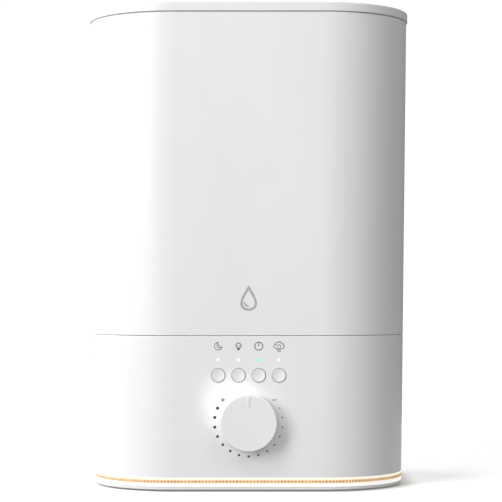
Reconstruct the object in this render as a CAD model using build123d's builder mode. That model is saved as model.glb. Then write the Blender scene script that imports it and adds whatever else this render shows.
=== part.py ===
from build123d import *
import math
import os

# Cool mist humidifier, top-fill, with a lift-off tank.
#
# Millimetres. +Z is up, the front faces -Y and +X is to the right as seen from the front.
# The origin is on the floor, under the middle of the body.
#
# Every outer face leans outward with height by the same draft, so a section of the body at
# any height is the tank's top section set in by draft_slope for each millimetre below it.

os.makedirs("parts", exist_ok=True)

# ---------------------------------------------------------------- driving dimensions
body_width = 210.2         # across the tank's top edge, left to right
body_depth = 160.0         # across the tank's top edge, front to back
corner_radius = 57.0       # plan corners at the tank's top edge
draft_slope = 0.0111       # outward lean of each side, per millimetre of height

# Heights of the stack, from the floor up
floor_gap = 1.0            # the feet stand this far out of the base plate
plinth_height = 2.1
band_height = 5.9          # translucent light band
housing_height = 90.4
seam_gap = 0.3             # dark line between base and tank
tank_height = 206.0
lid_groove = 0.6           # dark line between tank and lid
lid_band = 5.7             # visible edge of the lid

# Walls and general clearances
base_wall = 2.5
tank_wall = 2.5
tank_floor = 2.5
plinth_inset = 0.5         # plinth edge set in from the body line
edge_chamfer = 0.4         # plinth's and feet's lower edges
rim_edge_radius = 0.5      # housing's top edge
tank_foot_radius = 0.3     # tank's lower edge
tank_edge_radius = 0.4     # tank's top edge
cut_margin = 1.0           # a cut starts and ends this far outside what it cuts
running_clearance = 0.03   # radial, shaft in bearing
sliding_clearance = 0.4    # a part that moves in a guide
seat_clearance = 0.1       # radial, a fixed piece in its hole

# Rubber feet
foot_radius = 7.0
foot_height = 2.2
foot_pocket_clearance = 0.4
foot_x = 66.0
foot_y = 46.0

# Corner columns that join base plate, housing and basin
column_inset = 13.0
column_radius = 4.5
column_rib = 3.0
rib_lift = 2.0             # ribs start this far above the housing's lower edge
screw_radius = 1.5
screw_head_radius = 2.8
screw_head_height = 1.7
screw_length = 12.0
screw_recess = 0.1         # countersunk head below the plate's face
shank_start = 0.5          # shank begins inside the head
pilot_radius = 1.25
pilot_depth = 14.0
screw_play = 0.05          # radial, thread in its pilot hole
pan_head_radius = 2.8
pan_head_height = 1.6
fan_pilot_depth = 1.0      # fan's pilot holes go this far into the base plate
fan_screw_tip = 0.5

# Light band and its LED strip
band_thickness = 3.0
strip_inset = 5.5
strip_thickness = 0.5
strip_glue = 0.05          # between strip and rim, and between strip and LEDs
strip_margin = 0.8         # strip stands this far above the plate and below the housing
rim_thickness = 2.0        # wall that carries the strip
led_thickness = 1.4
led_width = 2.8
led_height = 2.8
leds_front = 4
leds_side = 2
leds_corner = 3
led_pitch = 24.0

# Tank seat and water basin in the top of the base
spigot_depth = 7.2
spigot_clearance = 1.0
spigot_wall = 2.0
deck_thickness = 2.5
deck_clearance = 0.3
basin_depth = 22.5
basin_length = 122.0
basin_width = 88.0
basin_corner = 20.0
basin_wall = 2.5
basin_x = -27.0

# Ultrasonic transducer in its well, on the origin's axis
well_radius = 20.0
well_drop = 7.5            # well body below the basin floor's underside
throat_radius = 10.0
throat_flare = 3.5
transducer_radius = 10.2
transducer_thickness = 1.3
seal_radius = 14.0
seal_lip_radius = 9.0
seal_height = 3.0
clamp_thickness = 1.5
clamp_hole_radius = 7.5
clamp_screw_circle = 17.0
clamp_screw_radius = 1.1
clamp_screw_length = 5.5
clamp_screw_tip_gap = 0.5
clamp_head_height = 1.2

# Float and its post
float_x = -27.0
float_y = 27.0
float_post_radius = 3.0
float_post_height = 18.0
float_radius = 11.0
float_height = 10.0
float_rest_gap = 0.4
float_chamfer = 1.0
keeper_radius = 6.0
keeper_height = 2.4
keeper_grip = 1.4          # of the keeper's height, over the post
magnet_inner_radius = 4.8
magnet_radius = 7.2
magnet_height = 2.6
magnet_clearance = 0.1
reed_length = 16.0
reed_width = 5.0
reed_height = 4.0
reed_corner = 1.0

# Fan and air duct
fan_x = 48.0
fan_y = 12.0
fan_size = 60.0
fan_height = 15.0
fan_corner = 4.0
fan_bore_radius = 28.5
fan_screw_offset = 25.0
fan_post_radius = 3.6
fan_seat_height = 2.9
fan_seat_wall = 2.0
fan_hub_radius = 11.0
fan_hub_thickness = 2.0
fan_strut_width = 3.0
rotor_radius = 12.5
rotor_wall = 1.7
rotor_base_gap = 0.8
rotor_height = 10.7
rotor_edge_radius = 1.0
shaft_bore_margin = 0.5    # metal left over the rotor's shaft bore
blade_count = 7
blade_tip_clearance = 0.6
blade_chord = 12.0
blade_thickness = 1.2
blade_pitch = 35.0
blade_embed = 0.6          # blade's root inside the rotor's wall
stator_radius = 10.0
stator_slots = 4
stator_slot_length = 5.0
stator_slot_width = 1.6
stator_slot_inset = 1.5    # slot's middle inside the stator's edge
bearing_radius = 3.2
bearing_height = 8.0
fan_shaft_radius = 1.5
shaft_end_gap = 0.5
filter_height = 2.4
duct_x = 62.0
duct_width = 40.0
duct_depth = 50.0
duct_corner = 8.0
duct_wall = 1.6
duct_foot = 3.0            # straight part over the fan's screws
duct_bend_height = 34.0
duct_lip = 4.0             # duct rises above the deck so that spilled water stays out
duct_hole_clearance = 0.4

# Air intake slots in the base plate
slot_width = 3.0
slot_pitch = 6.0
slot_rows = 8
intake_radius = 25.5
filter_overlap = 1.0       # filter reaches this far past the slots

# Main board
board_thickness = 1.6
board_corner = 2.0
board_x = -42.0
board_wall_gap = 4.5       # board's rear edge to the back wall's inner face
board_length_x = 44.0
board_length_y = 110.0
board_lift = 20.9          # underside above the base plate
standoff_radius = 3.0
standoff_inset = 5.0
standoff_pilot_depth = 8.0
board_screw_radius = 1.1
board_screw_head = 2.2
board_screw_head_height = 1.4
board_screw_depth = 6.0    # into a standoff
boss_screw_depth = 4.0     # into a boss
boss_pilot_depth = 5.0
heatsink_back_off = 35.0   # heatsink's middle in front of the board's middle
heatsink_length = 34.0
heatsink_depth = 22.0
heatsink_height = 20.0
heatsink_base = 3.0
fin_count = 6
fin_thickness = 1.2
# Round parts as x and y from the board's middle, radius and height
round_components = ((12, 27, 5.0, 16), (12, 13, 4.0, 12), (-12, 5, 7.0, 8))
# Square parts as x and y from the board's middle, two sides and height
square_components = ((8, -7, 12, 12, 1.6), (-14, -17, 8, 10, 1.8), (2, -52, 8, 5, 7.0), (15, 41, 8, 5, 7.0))

# Power inlet at the back, on the main board
inlet_x = -40.0
inlet_block_width = 11.0
inlet_block_height = 12.0
inlet_block_depth = 14.0
inlet_barrel_radius = 4.6
inlet_cavity_radius = 3.0
inlet_cavity_depth = 9.5
inlet_pin_radius = 1.05
inlet_pin_length = 8.5
inlet_pin_tip_radius = 0.4
inlet_recess = 0.5

# Dial, its scale and its potentiometer
dial_z = 44.3
dial_radius = 18.15
dial_depth = 9.4
dial_gap = 1.1             # knob's back to the front wall
dial_skirt_wall = 2.6
dial_face_thickness = 3.0
dial_edge_radius = 1.0
dial_boss_radius = 5.4
pointer_width = 1.5        # raised rib on the face, at twelve o'clock
pointer_length = 5.7
pointer_margin = 1.6       # rib's outer end to the knob's edge
pointer_height = 0.5
pointer_edge_radius = 0.2
dial_shaft_radius = 3.0
shaft_into_face = 0.6      # shaft's front end in the knob's face
shaft_tip_clearance = 0.1
shaft_rear_clearance = 0.3
bushing_radius = 4.4
bushing_stand_out = 3.2    # bushing beyond the front wall
nut_across_corners = 12.6
nut_thickness = 1.8
pot_radius = 8.4

# Buttons, indicators and control board
button_z = 74.3
button_pitch = 12.9
button_radius = 4.25
button_hole_clearance = 0.35
button_proud = 0.7
button_edge_radius = 0.25
button_dish_depth = 0.6
button_dish_rim = 0.45     # flat rim round the dish
button_flange = 0.9
button_flange_thickness = 1.0
button_flange_gap = 0.15
button_travel = 0.8
button_stem_radius = 1.3
button_stem_entry = 1.0
switch_size = 6.0
switch_height = 4.3
switch_corner = 0.6
switch_bore_spare = 0.5    # bore beyond the pressed stem
indicator_z = 84.1
lens_radius = 1.0
lens_head_radius = 1.6
lens_head_thickness = 0.8
indicator_led_size = 1.6
indicator_led_height = 0.8
lens_led_gap = 0.25
lens_edge_radius = 0.3
control_board_gap = 8.4    # wall's inner face to the board, at the buttons
control_board_width = 104.0
control_board_low = 24.0
control_board_high = 88.0
board_boss_radius = 3.0
board_boss_x = 44.0
board_boss_margin = 5.0
switch_bore_clearance = 0.2
lens_proud = 0.15
lens_clearance = 0.05
pot_gap = 0.2
pot_bore_depth = 5.0

# Aroma drawer at the back
drawer_x = 22.0
drawer_z = 33.0
drawer_width = 38.0
drawer_height = 13.0
drawer_depth = 25.0
drawer_wall = 1.5
drawer_front_width = 46.0
drawer_front_height = 20.0
drawer_front_corner = 2.0
bay_wall = 1.6
bay_corner = 2.0
bay_flange = 3.5
bay_flange_corner = 3.0
bay_flange_gap = 0.2
vent_count = 5
vent_pitch = 6.0
vent_length = 8.0
vent_width = 2.0
grip_width = 18.0
grip_height = 9.0
grip_depth = 1.4
pad_height = 6.0
pad_clearance = 0.8
pad_corner = 2.0

# Tank valve
valve_x = -58.0
neck_radius = 17.0
neck_bore_radius = 15.0
neck_length = 9.7
cap_radius = 19.6
cap_clearance = 0.15
cap_height = 11.0
cap_floor = 2.0
cap_grip_count = 18
cap_grip_radius = 1.5
cap_grip_stand_off = 0.7   # grip's centre outside the cap's edge
valve_seat_radius = 7.0
valve_open_gap = 3.0
valve_hub_radius = 4.6
valve_hub_depth = 2.0
valve_spoke = 2.4
neck_gasket_height = 2.0
neck_gasket_width = 3.0
plunger_stem_radius = 2.5
plunger_tip_radius = 1.0
plunger_tip_spare = 1.0    # stem beyond the cage with the valve open
plunger_head_radius = 9.0
plunger_head_height = 2.0
plunger_seal_height = 1.5
valve_guide_clearance = 0.1
valve_post_height = 9.0
valve_post_radius = 5.0
valve_post_gap = 0.2
cage_ring_radius = 13.8
cage_ring_wall = 2.8
cage_ring_height = 2.0
cage_leg = 2.6
cage_height = 18.0
cage_top = 2.0
cage_hub_wall = 1.6        # hub beyond the spring's middle
spring_radius = 4.6
spring_wire_radius = 0.4
spring_turns = 5

# Mist tube through the tank
tube_radius = 22.0
tube_wall = 2.0
tube_skirt = 13.5          # tube below the tank's underside
tube_flange_radius = 27.0
tube_flange_height = 2.0
tube_gasket_height = 1.0
tube_top_gap = 1.0         # tube's top edge below the tank's top edge

# Lid
lid_overhang = 0.7
lid_wall = 2.0
lid_plate = 3.9
lid_edge_radius = 1.0
lid_lower_radius = 0.3
dish_inset = 9.0
dish_depth = 1.6
dish_edge_radius = 1.2
liner_clearance = 0.2
liner_plate = 2.4
liner_spigot_clearance = 0.5
liner_spigot_wall = 1.8
liner_spigot_depth = 9.0
collar_wall = 2.0
collar_depth = 15.0
gasket_height = 1.6
gasket_groove_lift = 2.0   # groove above the spigot's lower edge
gasket_groove_depth = 0.9
gasket_lip = 0.3           # gasket stops this far from the moving wall beside it

# Nozzle
nozzle_skirt_radius = 19.6
nozzle_skirt_wall = 2.0
nozzle_skirt_depth = 3.0
nozzle_flange_radius = 30.0
nozzle_hole_clearance = 0.8
nozzle_seat_gap = 0.1
nozzle_flange_height = 2.1
nozzle_dome_radius = 27.0
nozzle_rise = 6.6          # dome's crown above its flange
nozzle_wall = 2.0
nozzle_slot_width = 26.0
nozzle_slot_height = 8.0
nozzle_slot_lean = 45.0    # outlet leans towards the front, in degrees
nozzle_slot_front = 11.0   # slot's middle in front of the axis
nozzle_slot_drop = 2.4     # and below the crown
nozzle_slot_cut = 12.0

# ---------------------------------------------------------------- heights and places
draft_angle = math.degrees(math.atan(draft_slope))
z_plinth = floor_gap
z_plate = z_plinth + plinth_height
z_housing = z_plate + band_height
z_rim = z_housing + housing_height
z_tank = z_rim + seam_gap
z_tank_top = z_tank + tank_height
z_lid = z_tank_top + lid_groove
z_top = z_lid + lid_band
z_deck_top = z_tank - spigot_depth
z_deck = z_deck_top - deck_thickness
z_basin = z_deck_top - basin_depth
z_board = z_plate + board_lift
z_board_top = z_board + board_thickness


def shrink(z):
    """How far a side at height z lies inside the tank's top edge."""
    return (z_tank_top - z) * draft_slope


def half_width(z):
    return body_width / 2 - shrink(z)


def half_depth(z):
    return body_depth / 2 - shrink(z)


def outline(z, inset=0.0):
    """The body's rounded rectangle at a height, inside a sketch."""
    width = 2 * (half_width(z) - inset)
    depth = 2 * (half_depth(z) - inset)
    RectangleRounded(width, depth, corner_radius - shrink(z) - inset)


def body_block(low, high, inset=0.0, mode=Mode.ADD):
    """A solid between two heights whose sides follow the body's lean."""
    with BuildSketch(Plane.XY.offset(low)) as section:
        outline(low, inset)
    extrude(section.sketch, amount=high - low, taper=-draft_angle, mode=mode)


def facing(y):
    """A plane that faces the front: its x is +X and its y is +Z."""
    return Plane(origin=(0, y, 0), x_dir=(1, 0, 0), z_dir=(0, -1, 0))


def bar(points, radius, low, high, mode=Mode.ADD):
    """Round bars from one height to another at each point of a list."""
    with BuildSketch(Plane.XY.offset(low)) as ends:
        with Locations(*points):
            Circle(radius)
    extrude(ends.sketch, amount=high - low, mode=mode)


def front_bar(points, radius, front, rear, mode=Mode.ADD):
    """Round bars along Y at each (x, z) of a list, from y = front back to y = rear."""
    with BuildSketch(facing(front)) as ends:
        with Locations(*points):
            Circle(radius)
    extrude(ends.sketch, amount=front - rear, mode=mode)


def ring(points, outer, inner, low, high, mode=Mode.ADD):
    """Upright tubes between two heights at each point of a list."""
    with BuildSketch(Plane.XY.offset(low)) as ends:
        with Locations(*points):
            Circle(outer)
            Circle(inner, mode=Mode.SUBTRACT)
    extrude(ends.sketch, amount=high - low, mode=mode)


def mirrored(x, y):
    return [(x, y), (-x, y), (-x, -y), (x, -y)]


# Centre of the front right corner's arc, and of the column inside it
corner_x = body_width / 2 - corner_radius
corner_y = body_depth / 2 - corner_radius
column_reach = corner_radius - shrink(z_housing) - column_inset
column_x = corner_x + column_reach * math.cos(math.radians(45))
column_y = corner_y + column_reach * math.sin(math.radians(45))
columns = mirrored(column_x, column_y)
feet = mirrored(foot_x, foot_y)

# Front wall, at the height of each control
wall_dial = -half_depth(dial_z)
wall_button = -half_depth(button_z)
wall_indicator = -half_depth(indicator_z)
board_front = wall_button + base_wall + control_board_gap
button_columns = [(index - 1.5) * button_pitch for index in range(4)]
button_places = [(x, button_z) for x in button_columns]
indicator_places = [(x, indicator_z) for x in button_columns]
board_boss_z = (control_board_low + board_boss_margin, control_board_high - board_boss_margin)
z_inlet = z_board_top + inlet_block_height / 2
board_y = half_depth(z_inlet) - base_wall - board_wall_gap - board_length_y / 2

# ---------------------------------------------------------------- base: floor and light band
fan_posts = [(fan_x + x, fan_y + y) for x, y in mirrored(fan_screw_offset, fan_screw_offset)]
standoff_x = board_length_x / 2 - standoff_inset
standoff_y = board_length_y / 2 - standoff_inset
standoffs = [(board_x + x, board_y + y) for x, y in mirrored(standoff_x, standoff_y)]
rim_inset = strip_inset + strip_thickness + strip_glue
z_fan = z_plate + fan_seat_height

with BuildPart() as base_plate:
    body_block(z_plinth, z_plate, plinth_inset)
    chamfer(base_plate.faces().sort_by(Axis.Z)[0].outer_wire().edges(), edge_chamfer)
    # Inner rim that carries the light strip
    body_block(z_plate, z_housing - strip_margin, rim_inset)
    body_block(z_plate, z_housing - strip_margin, rim_inset + rim_thickness, Mode.SUBTRACT)
    # Seat and posts for the fan
    with BuildSketch(Plane.XY.offset(z_plate)):
        with Locations((fan_x, fan_y)):
            RectangleRounded(fan_size, fan_size, fan_corner)
            RectangleRounded(
                fan_size - 2 * fan_seat_wall,
                fan_size - 2 * fan_seat_wall,
                fan_corner - fan_seat_wall,
                mode=Mode.SUBTRACT,
            )
        with Locations(*fan_posts):
            Circle(fan_post_radius)
    extrude(amount=fan_seat_height)
    bar(fan_posts, pilot_radius, z_plate - fan_pilot_depth, z_fan, Mode.SUBTRACT)
    # Standoffs for the main board
    bar(standoffs, standoff_radius, z_plate, z_board)
    bar(standoffs, board_screw_radius, z_board - standoff_pilot_depth, z_board, Mode.SUBTRACT)
    # Pockets for the feet
    pocket_radius = foot_radius + foot_pocket_clearance
    bar(feet, pocket_radius, z_plinth, foot_height, Mode.SUBTRACT)
    # Countersunk holes under the columns
    bar(columns, screw_radius + seat_clearance, z_plinth, z_plate, Mode.SUBTRACT)
    with Locations(*[(x, y, z_plinth) for x, y in columns]):
        Cone(
            screw_head_radius + seat_clearance,
            screw_radius + seat_clearance,
            screw_head_height,
            align=(Align.CENTER, Align.CENTER, Align.MIN),
            mode=Mode.SUBTRACT,
        )
    # Air intake: parallel slots, each as long as the round opening allows
    with BuildSketch(Plane.XY.offset(z_plinth)):
        for row in range(slot_rows):
            offset_y = (row - (slot_rows - 1) / 2) * slot_pitch
            length = 2 * math.sqrt(intake_radius**2 - offset_y**2)
            with Locations((fan_x, fan_y + offset_y)):
                SlotOverall(length, slot_width)
    extrude(amount=plinth_height, mode=Mode.SUBTRACT)
base_plate.part.label = "base_plate"
export_step(base_plate.part, "parts/base_plate.step")

with BuildPart() as rubber_feet:
    bar(feet, foot_radius, 0, foot_height)
    chamfer(rubber_feet.faces().sort_by(Axis.Z)[:len(feet)].edges(), edge_chamfer)
rubber_feet.part.label = "rubber_feet"
export_step(rubber_feet.part, "parts/rubber_feet.step")

with BuildPart() as light_band:
    body_block(z_plate, z_housing)
    body_block(z_plate, z_housing, band_thickness, Mode.SUBTRACT)
light_band.part.label = "light_band"
export_step(light_band.part, "parts/light_band.step")

with BuildPart() as light_strip:
    body_block(z_plate + strip_margin, z_housing - strip_margin, strip_inset)
    inner = strip_inset + strip_thickness
    body_block(z_plate + strip_margin, z_housing - strip_margin, inner, Mode.SUBTRACT)
light_strip.part.label = "light_strip"
export_step(light_strip.part, "parts/light_strip.step")

# LEDs stand on the strip's outer face, evenly along the flats and round the corners
z_led = (z_plate + z_housing) / 2
led_line = strip_inset - strip_glue - led_thickness / 2
led_line_x = half_width(z_led) - led_line
led_line_y = half_depth(z_led) - led_line
led_arc = led_line_x - corner_x
with BuildPart() as strip_leds:
    for side in (-1, 1):
        for index in range(leds_front):
            x = (index - (leds_front - 1) / 2) * led_pitch
            with Locations((x, side * led_line_y, z_led)):
                Box(led_width, led_thickness, led_height)
        for index in range(leds_side):
            y = (index - (leds_side - 1) / 2) * led_pitch
            with Locations((side * led_line_x, y, z_led)):
                Box(led_thickness, led_width, led_height)
    for turn, (sign_x, sign_y) in enumerate(mirrored(1, 1)):
        for index in range(leds_corner):
            angle = 90 * turn + 90 * (index + 0.5) / leds_corner
            x = sign_x * corner_x + led_arc * math.cos(math.radians(angle))
            y = sign_y * corner_y + led_arc * math.sin(math.radians(angle))
            with Locations(Location((x, y, z_led), (0, 0, angle))):
                Box(led_thickness, led_width, led_height)
strip_leds.part.label = "strip_leds"
export_step(strip_leds.part, "parts/strip_leds.step")

with BuildPart() as base_screws:
    shank_top = z_plinth + screw_length
    bar(columns, screw_radius - seat_clearance, z_plinth + shank_start, z_plate)
    bar(columns, pilot_radius - screw_play, z_plate, shank_top)
    with Locations(*[(x, y, z_plinth + screw_recess) for x, y in columns]):
        Cone(
            screw_head_radius - seat_clearance,
            screw_radius - seat_clearance,
            screw_head_height - screw_recess,
            align=(Align.CENTER, Align.CENTER, Align.MIN),
        )
base_screws.part.label = "base_screws"
export_step(base_screws.part, "parts/base_screws.step")

# ---------------------------------------------------------------- base: housing
wall_back = half_depth(drawer_z)
front_opening_x = drawer_front_width + 2 * sliding_clearance
front_opening_z = drawer_front_height + 2 * sliding_clearance
opening_corner = drawer_front_corner + sliding_clearance

with BuildPart() as base_housing:
    body_block(z_housing, z_rim)
    body_block(z_housing, z_rim, base_wall, Mode.SUBTRACT)
    fillet(base_housing.faces().sort_by(Axis.Z)[-1].outer_wire().edges(), rim_edge_radius)
    # Corner columns and the ribs that tie them to the wall
    bar(columns, column_radius, z_plate, z_deck)
    rib_length = column_inset - base_wall / 2
    for turn, (x, y) in zip((45, 135, 225, 315), columns):
        with Locations(Location((x, y, z_housing + rib_lift), (0, 0, turn))):
            Box(
                rib_length,
                column_rib,
                z_deck - z_housing - rib_lift,
                align=(Align.MIN, Align.CENTER, Align.MIN),
            )
    bar(columns, pilot_radius, z_plate, z_plate + pilot_depth, Mode.SUBTRACT)
    bar(columns, pilot_radius, z_deck - pilot_depth, z_deck, Mode.SUBTRACT)
    # Holes for the dial's bushing, the buttons and the indicator lenses
    front = -half_depth(z_rim) - cut_margin
    rear = wall_dial + base_wall + cut_margin
    front_bar([(0, dial_z)], bushing_radius + seat_clearance, front, rear, Mode.SUBTRACT)
    button_bore = button_radius + button_hole_clearance
    front_bar(button_places, button_bore, front, rear, Mode.SUBTRACT)
    front_bar(indicator_places, lens_radius + lens_clearance, front, rear, Mode.SUBTRACT)
    # Bosses that carry the control board
    for z in board_boss_z:
        places = [(-board_boss_x, z), (board_boss_x, z)]
        front_bar(places, board_boss_radius, base_wall / 2 - half_depth(z), board_front)
        pilot_front = board_front - boss_pilot_depth
        front_bar(places, board_screw_radius, pilot_front, board_front, Mode.SUBTRACT)
    # Power inlet hole and drawer opening through the back wall
    behind = half_depth(z_rim) + cut_margin
    inside = wall_back - base_wall - cut_margin
    inlet_bore = inlet_barrel_radius + seat_clearance
    front_bar([(inlet_x, z_inlet)], inlet_bore, inside, behind, Mode.SUBTRACT)
    with BuildSketch(facing(inside)):
        with Locations((drawer_x, drawer_z)):
            RectangleRounded(front_opening_x, front_opening_z, opening_corner)
    extrude(amount=inside - behind, mode=Mode.SUBTRACT)
base_housing.part.label = "base_housing"
export_step(base_housing.part, "parts/base_housing.step")

# ---------------------------------------------------------------- base: water basin
duct_y = fan_y
z_duct_top = z_deck_top + duct_lip
z_well = z_basin - basin_wall - well_drop
z_seal_top = z_well + seal_height

with BuildPart() as water_basin:
    body_block(z_deck, z_deck_top, base_wall + deck_clearance)
    # Outer tray, transducer well, then the hollow
    with BuildSketch(Plane.XY.offset(z_basin - basin_wall)):
        with Locations((basin_x, 0)):
            RectangleRounded(
                basin_length + 2 * basin_wall,
                basin_width + 2 * basin_wall,
                basin_corner + basin_wall,
            )
    extrude(amount=z_deck - z_basin + basin_wall)
    bar([(0, 0)], well_radius, z_well, z_basin)
    with BuildSketch(Plane.XY.offset(z_basin)):
        with Locations((basin_x, 0)):
            RectangleRounded(basin_length, basin_width, basin_corner)
    extrude(amount=basin_depth, mode=Mode.SUBTRACT)
    # Throat over the transducer, flared to the basin floor, and the seal's seat below it
    bar([(0, 0)], throat_radius, z_seal_top, z_basin, Mode.SUBTRACT)
    with Locations((0, 0, z_basin)):
        Cone(
            throat_radius,
            throat_radius + throat_flare,
            throat_flare,
            align=(Align.CENTER, Align.CENTER, Align.MAX),
            mode=Mode.SUBTRACT,
        )
    bar([(0, 0)], seal_radius, z_well, z_seal_top, Mode.SUBTRACT)
    clamp_screws = [
        (clamp_screw_circle * math.cos(turn), clamp_screw_circle * math.sin(turn))
        for turn in (math.radians(90), math.radians(210), math.radians(330))
    ]
    bar(clamp_screws, clamp_screw_radius, z_well, z_well + clamp_screw_length, Mode.SUBTRACT)
    # Posts for the tank valve and the float
    bar([(valve_x, 0)], valve_post_radius, z_basin, z_basin + valve_post_height)
    bar([(float_x, float_y)], float_post_radius, z_basin, z_basin + float_post_height)
    # Opening for the air duct, and holes over the columns
    with BuildSketch(Plane.XY.offset(z_deck)):
        with Locations((duct_x, duct_y)):
            RectangleRounded(
                duct_width + 2 * duct_hole_clearance,
                duct_depth + 2 * duct_hole_clearance,
                duct_corner + duct_hole_clearance,
            )
    extrude(amount=deck_thickness, mode=Mode.SUBTRACT)
    bar(columns, screw_radius + seat_clearance, z_deck, z_deck_top, Mode.SUBTRACT)
water_basin.part.label = "water_basin"
export_step(water_basin.part, "parts/water_basin.step")

with BuildPart() as deck_screws:
    bar(columns, pilot_radius - screw_play, z_deck_top - screw_length, z_deck_top)
    bar(columns, pan_head_radius, z_deck_top, z_deck_top + pan_head_height)
deck_screws.part.label = "deck_screws"
export_step(deck_screws.part, "parts/deck_screws.step")

# ---------------------------------------------------------------- base: transducer
z_disc = z_well + (seal_height - transducer_thickness) / 2

with BuildPart() as transducer_disc:
    bar([(0, 0)], transducer_radius, z_disc, z_disc + transducer_thickness)
transducer_disc.part.label = "transducer_disc"
export_step(transducer_disc.part, "parts/transducer_disc.step")

with BuildPart() as transducer_seal:
    ring([(0, 0)], seal_radius - seat_clearance, seal_lip_radius, z_well, z_seal_top)
    groove_radius = transducer_radius + screw_play
    bar([(0, 0)], groove_radius, z_disc, z_disc + transducer_thickness, Mode.SUBTRACT)
transducer_seal.part.label = "transducer_seal"
export_step(transducer_seal.part, "parts/transducer_seal.step")

with BuildPart() as transducer_clamp:
    ring([(0, 0)], well_radius, clamp_hole_radius, z_well - clamp_thickness, z_well)
    hole_radius = clamp_screw_radius + seat_clearance
    bar(clamp_screws, hole_radius, z_well - clamp_thickness, z_well, Mode.SUBTRACT)
transducer_clamp.part.label = "transducer_clamp"
export_step(transducer_clamp.part, "parts/transducer_clamp.step")

with BuildPart() as clamp_fasteners:
    under = z_well - clamp_thickness
    tip = z_well + clamp_screw_length - clamp_screw_tip_gap
    bar(clamp_screws, clamp_screw_radius - screw_play, under, tip)
    bar(clamp_screws, board_screw_head, under - clamp_head_height, under)
clamp_fasteners.part.label = "clamp_screws"
export_step(clamp_fasteners.part, "parts/clamp_screws.step")

# ---------------------------------------------------------------- base: float
float_place = [(float_x, float_y)]
z_float = z_basin + float_rest_gap
z_post_top = z_basin + float_post_height

with BuildPart() as float_ring:
    guide_radius = float_post_radius + sliding_clearance
    ring(float_place, float_radius, guide_radius, z_float, z_float + float_height)
    chamfer(float_ring.faces().sort_by(Axis.Z)[-1].outer_wire().edges(), float_chamfer)
    ring(
        float_place,
        magnet_radius + magnet_clearance,
        magnet_inner_radius - magnet_clearance,
        z_float,
        z_float + magnet_height + magnet_clearance,
        Mode.SUBTRACT,
    )
float_ring.part.label = "float_ring"
export_step(float_ring.part, "parts/float_ring.step")

with BuildPart() as float_magnet:
    ring(float_place, magnet_radius, magnet_inner_radius, z_float, z_float + magnet_height)
float_magnet.part.label = "float_magnet"
export_step(float_magnet.part, "parts/float_magnet.step")

with BuildPart() as float_keeper:
    low = z_post_top - keeper_grip
    bar(float_place, keeper_radius, low, low + keeper_height)
    bar(float_place, float_post_radius + screw_play, low, z_post_top, Mode.SUBTRACT)
float_keeper.part.label = "float_keeper"
export_step(float_keeper.part, "parts/float_keeper.step")

with BuildPart() as float_switch:
    with BuildSketch(Plane.XY.offset(z_basin - basin_wall - reed_height)):
        with Locations((float_x, float_y)):
            RectangleRounded(reed_length, reed_width, reed_corner)
    extrude(amount=reed_height)
float_switch.part.label = "float_switch"
export_step(float_switch.part, "parts/float_switch.step")

# ---------------------------------------------------------------- base: fan and duct
fan_place = [(fan_x, fan_y)]
z_fan_hub = z_fan + fan_hub_thickness
z_fan_top = z_fan + fan_height
z_rotor = z_fan_hub + rotor_base_gap
z_rotor_top = z_rotor + rotor_height
z_bore_end = z_rotor_top - shaft_bore_margin
blade_tip = fan_bore_radius - blade_tip_clearance
blade_root = rotor_radius - blade_embed

with BuildPart() as fan_frame:
    with BuildSketch(Plane.XY.offset(z_fan)):
        with Locations(*fan_place):
            RectangleRounded(fan_size, fan_size, fan_corner)
            Circle(fan_bore_radius, mode=Mode.SUBTRACT)
        with Locations(*fan_posts):
            Circle(screw_radius + seat_clearance, mode=Mode.SUBTRACT)
    extrude(amount=fan_height)
    with BuildSketch(Plane.XY.offset(z_fan)):
        with Locations(*fan_place):
            Circle(fan_hub_radius)
            for turn in (45, -45):
                Rectangle(2 * fan_bore_radius + cut_margin, fan_strut_width, rotation=turn)
    extrude(amount=fan_hub_thickness)
fan_frame.part.label = "fan_frame"
export_step(fan_frame.part, "parts/fan_frame.step")

with BuildPart() as fan_bearing:
    bore = fan_shaft_radius + running_clearance
    ring(fan_place, bearing_radius, bore, z_fan_hub, z_fan_hub + bearing_height)
fan_bearing.part.label = "fan_bearing"
export_step(fan_bearing.part, "parts/fan_bearing.step")

with BuildPart() as fan_stator:
    bore = bearing_radius + screw_play
    ring(fan_place, stator_radius, bore, z_fan_hub, z_fan_hub + bearing_height)
    # Slots between the four wound poles
    with Locations(*[(x, y, z_fan_hub) for x, y in fan_place]):
        with PolarLocations(stator_radius - stator_slot_inset, stator_slots):
            Box(
                stator_slot_length,
                stator_slot_width,
                bearing_height,
                align=(Align.CENTER, Align.CENTER, Align.MIN),
                mode=Mode.SUBTRACT,
            )
fan_stator.part.label = "fan_stator"
export_step(fan_stator.part, "parts/fan_stator.step")

with BuildPart() as fan_rotor:
    bar(fan_place, rotor_radius, z_rotor, z_rotor_top)
    fillet(fan_rotor.faces().sort_by(Axis.Z)[-1].edges(), rotor_edge_radius)
    blade_end = blade_tip + cut_margin
    middle = (blade_root + blade_end) / 2
    with Locations((fan_x, fan_y, (z_rotor + z_rotor_top) / 2)):
        with PolarLocations(middle, blade_count):
            Box(
                blade_end - blade_root,
                blade_chord,
                blade_thickness,
                rotation=(blade_pitch, 0, 0),
            )
    with BuildSketch(Plane.XY.offset(z_rotor)) as sweep_disc:
        with Locations(*fan_place):
            Circle(blade_tip)
    extrude(amount=rotor_height, mode=Mode.INTERSECT)
    bar(fan_place, rotor_radius - rotor_wall, z_rotor, z_rotor_top - rotor_wall, Mode.SUBTRACT)
    shaft_bore = fan_shaft_radius + screw_play
    bar(fan_place, shaft_bore, z_rotor_top - rotor_wall, z_bore_end, Mode.SUBTRACT)
fan_rotor.part.label = "fan_rotor"
export_step(fan_rotor.part, "parts/fan_rotor.step")

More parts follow.
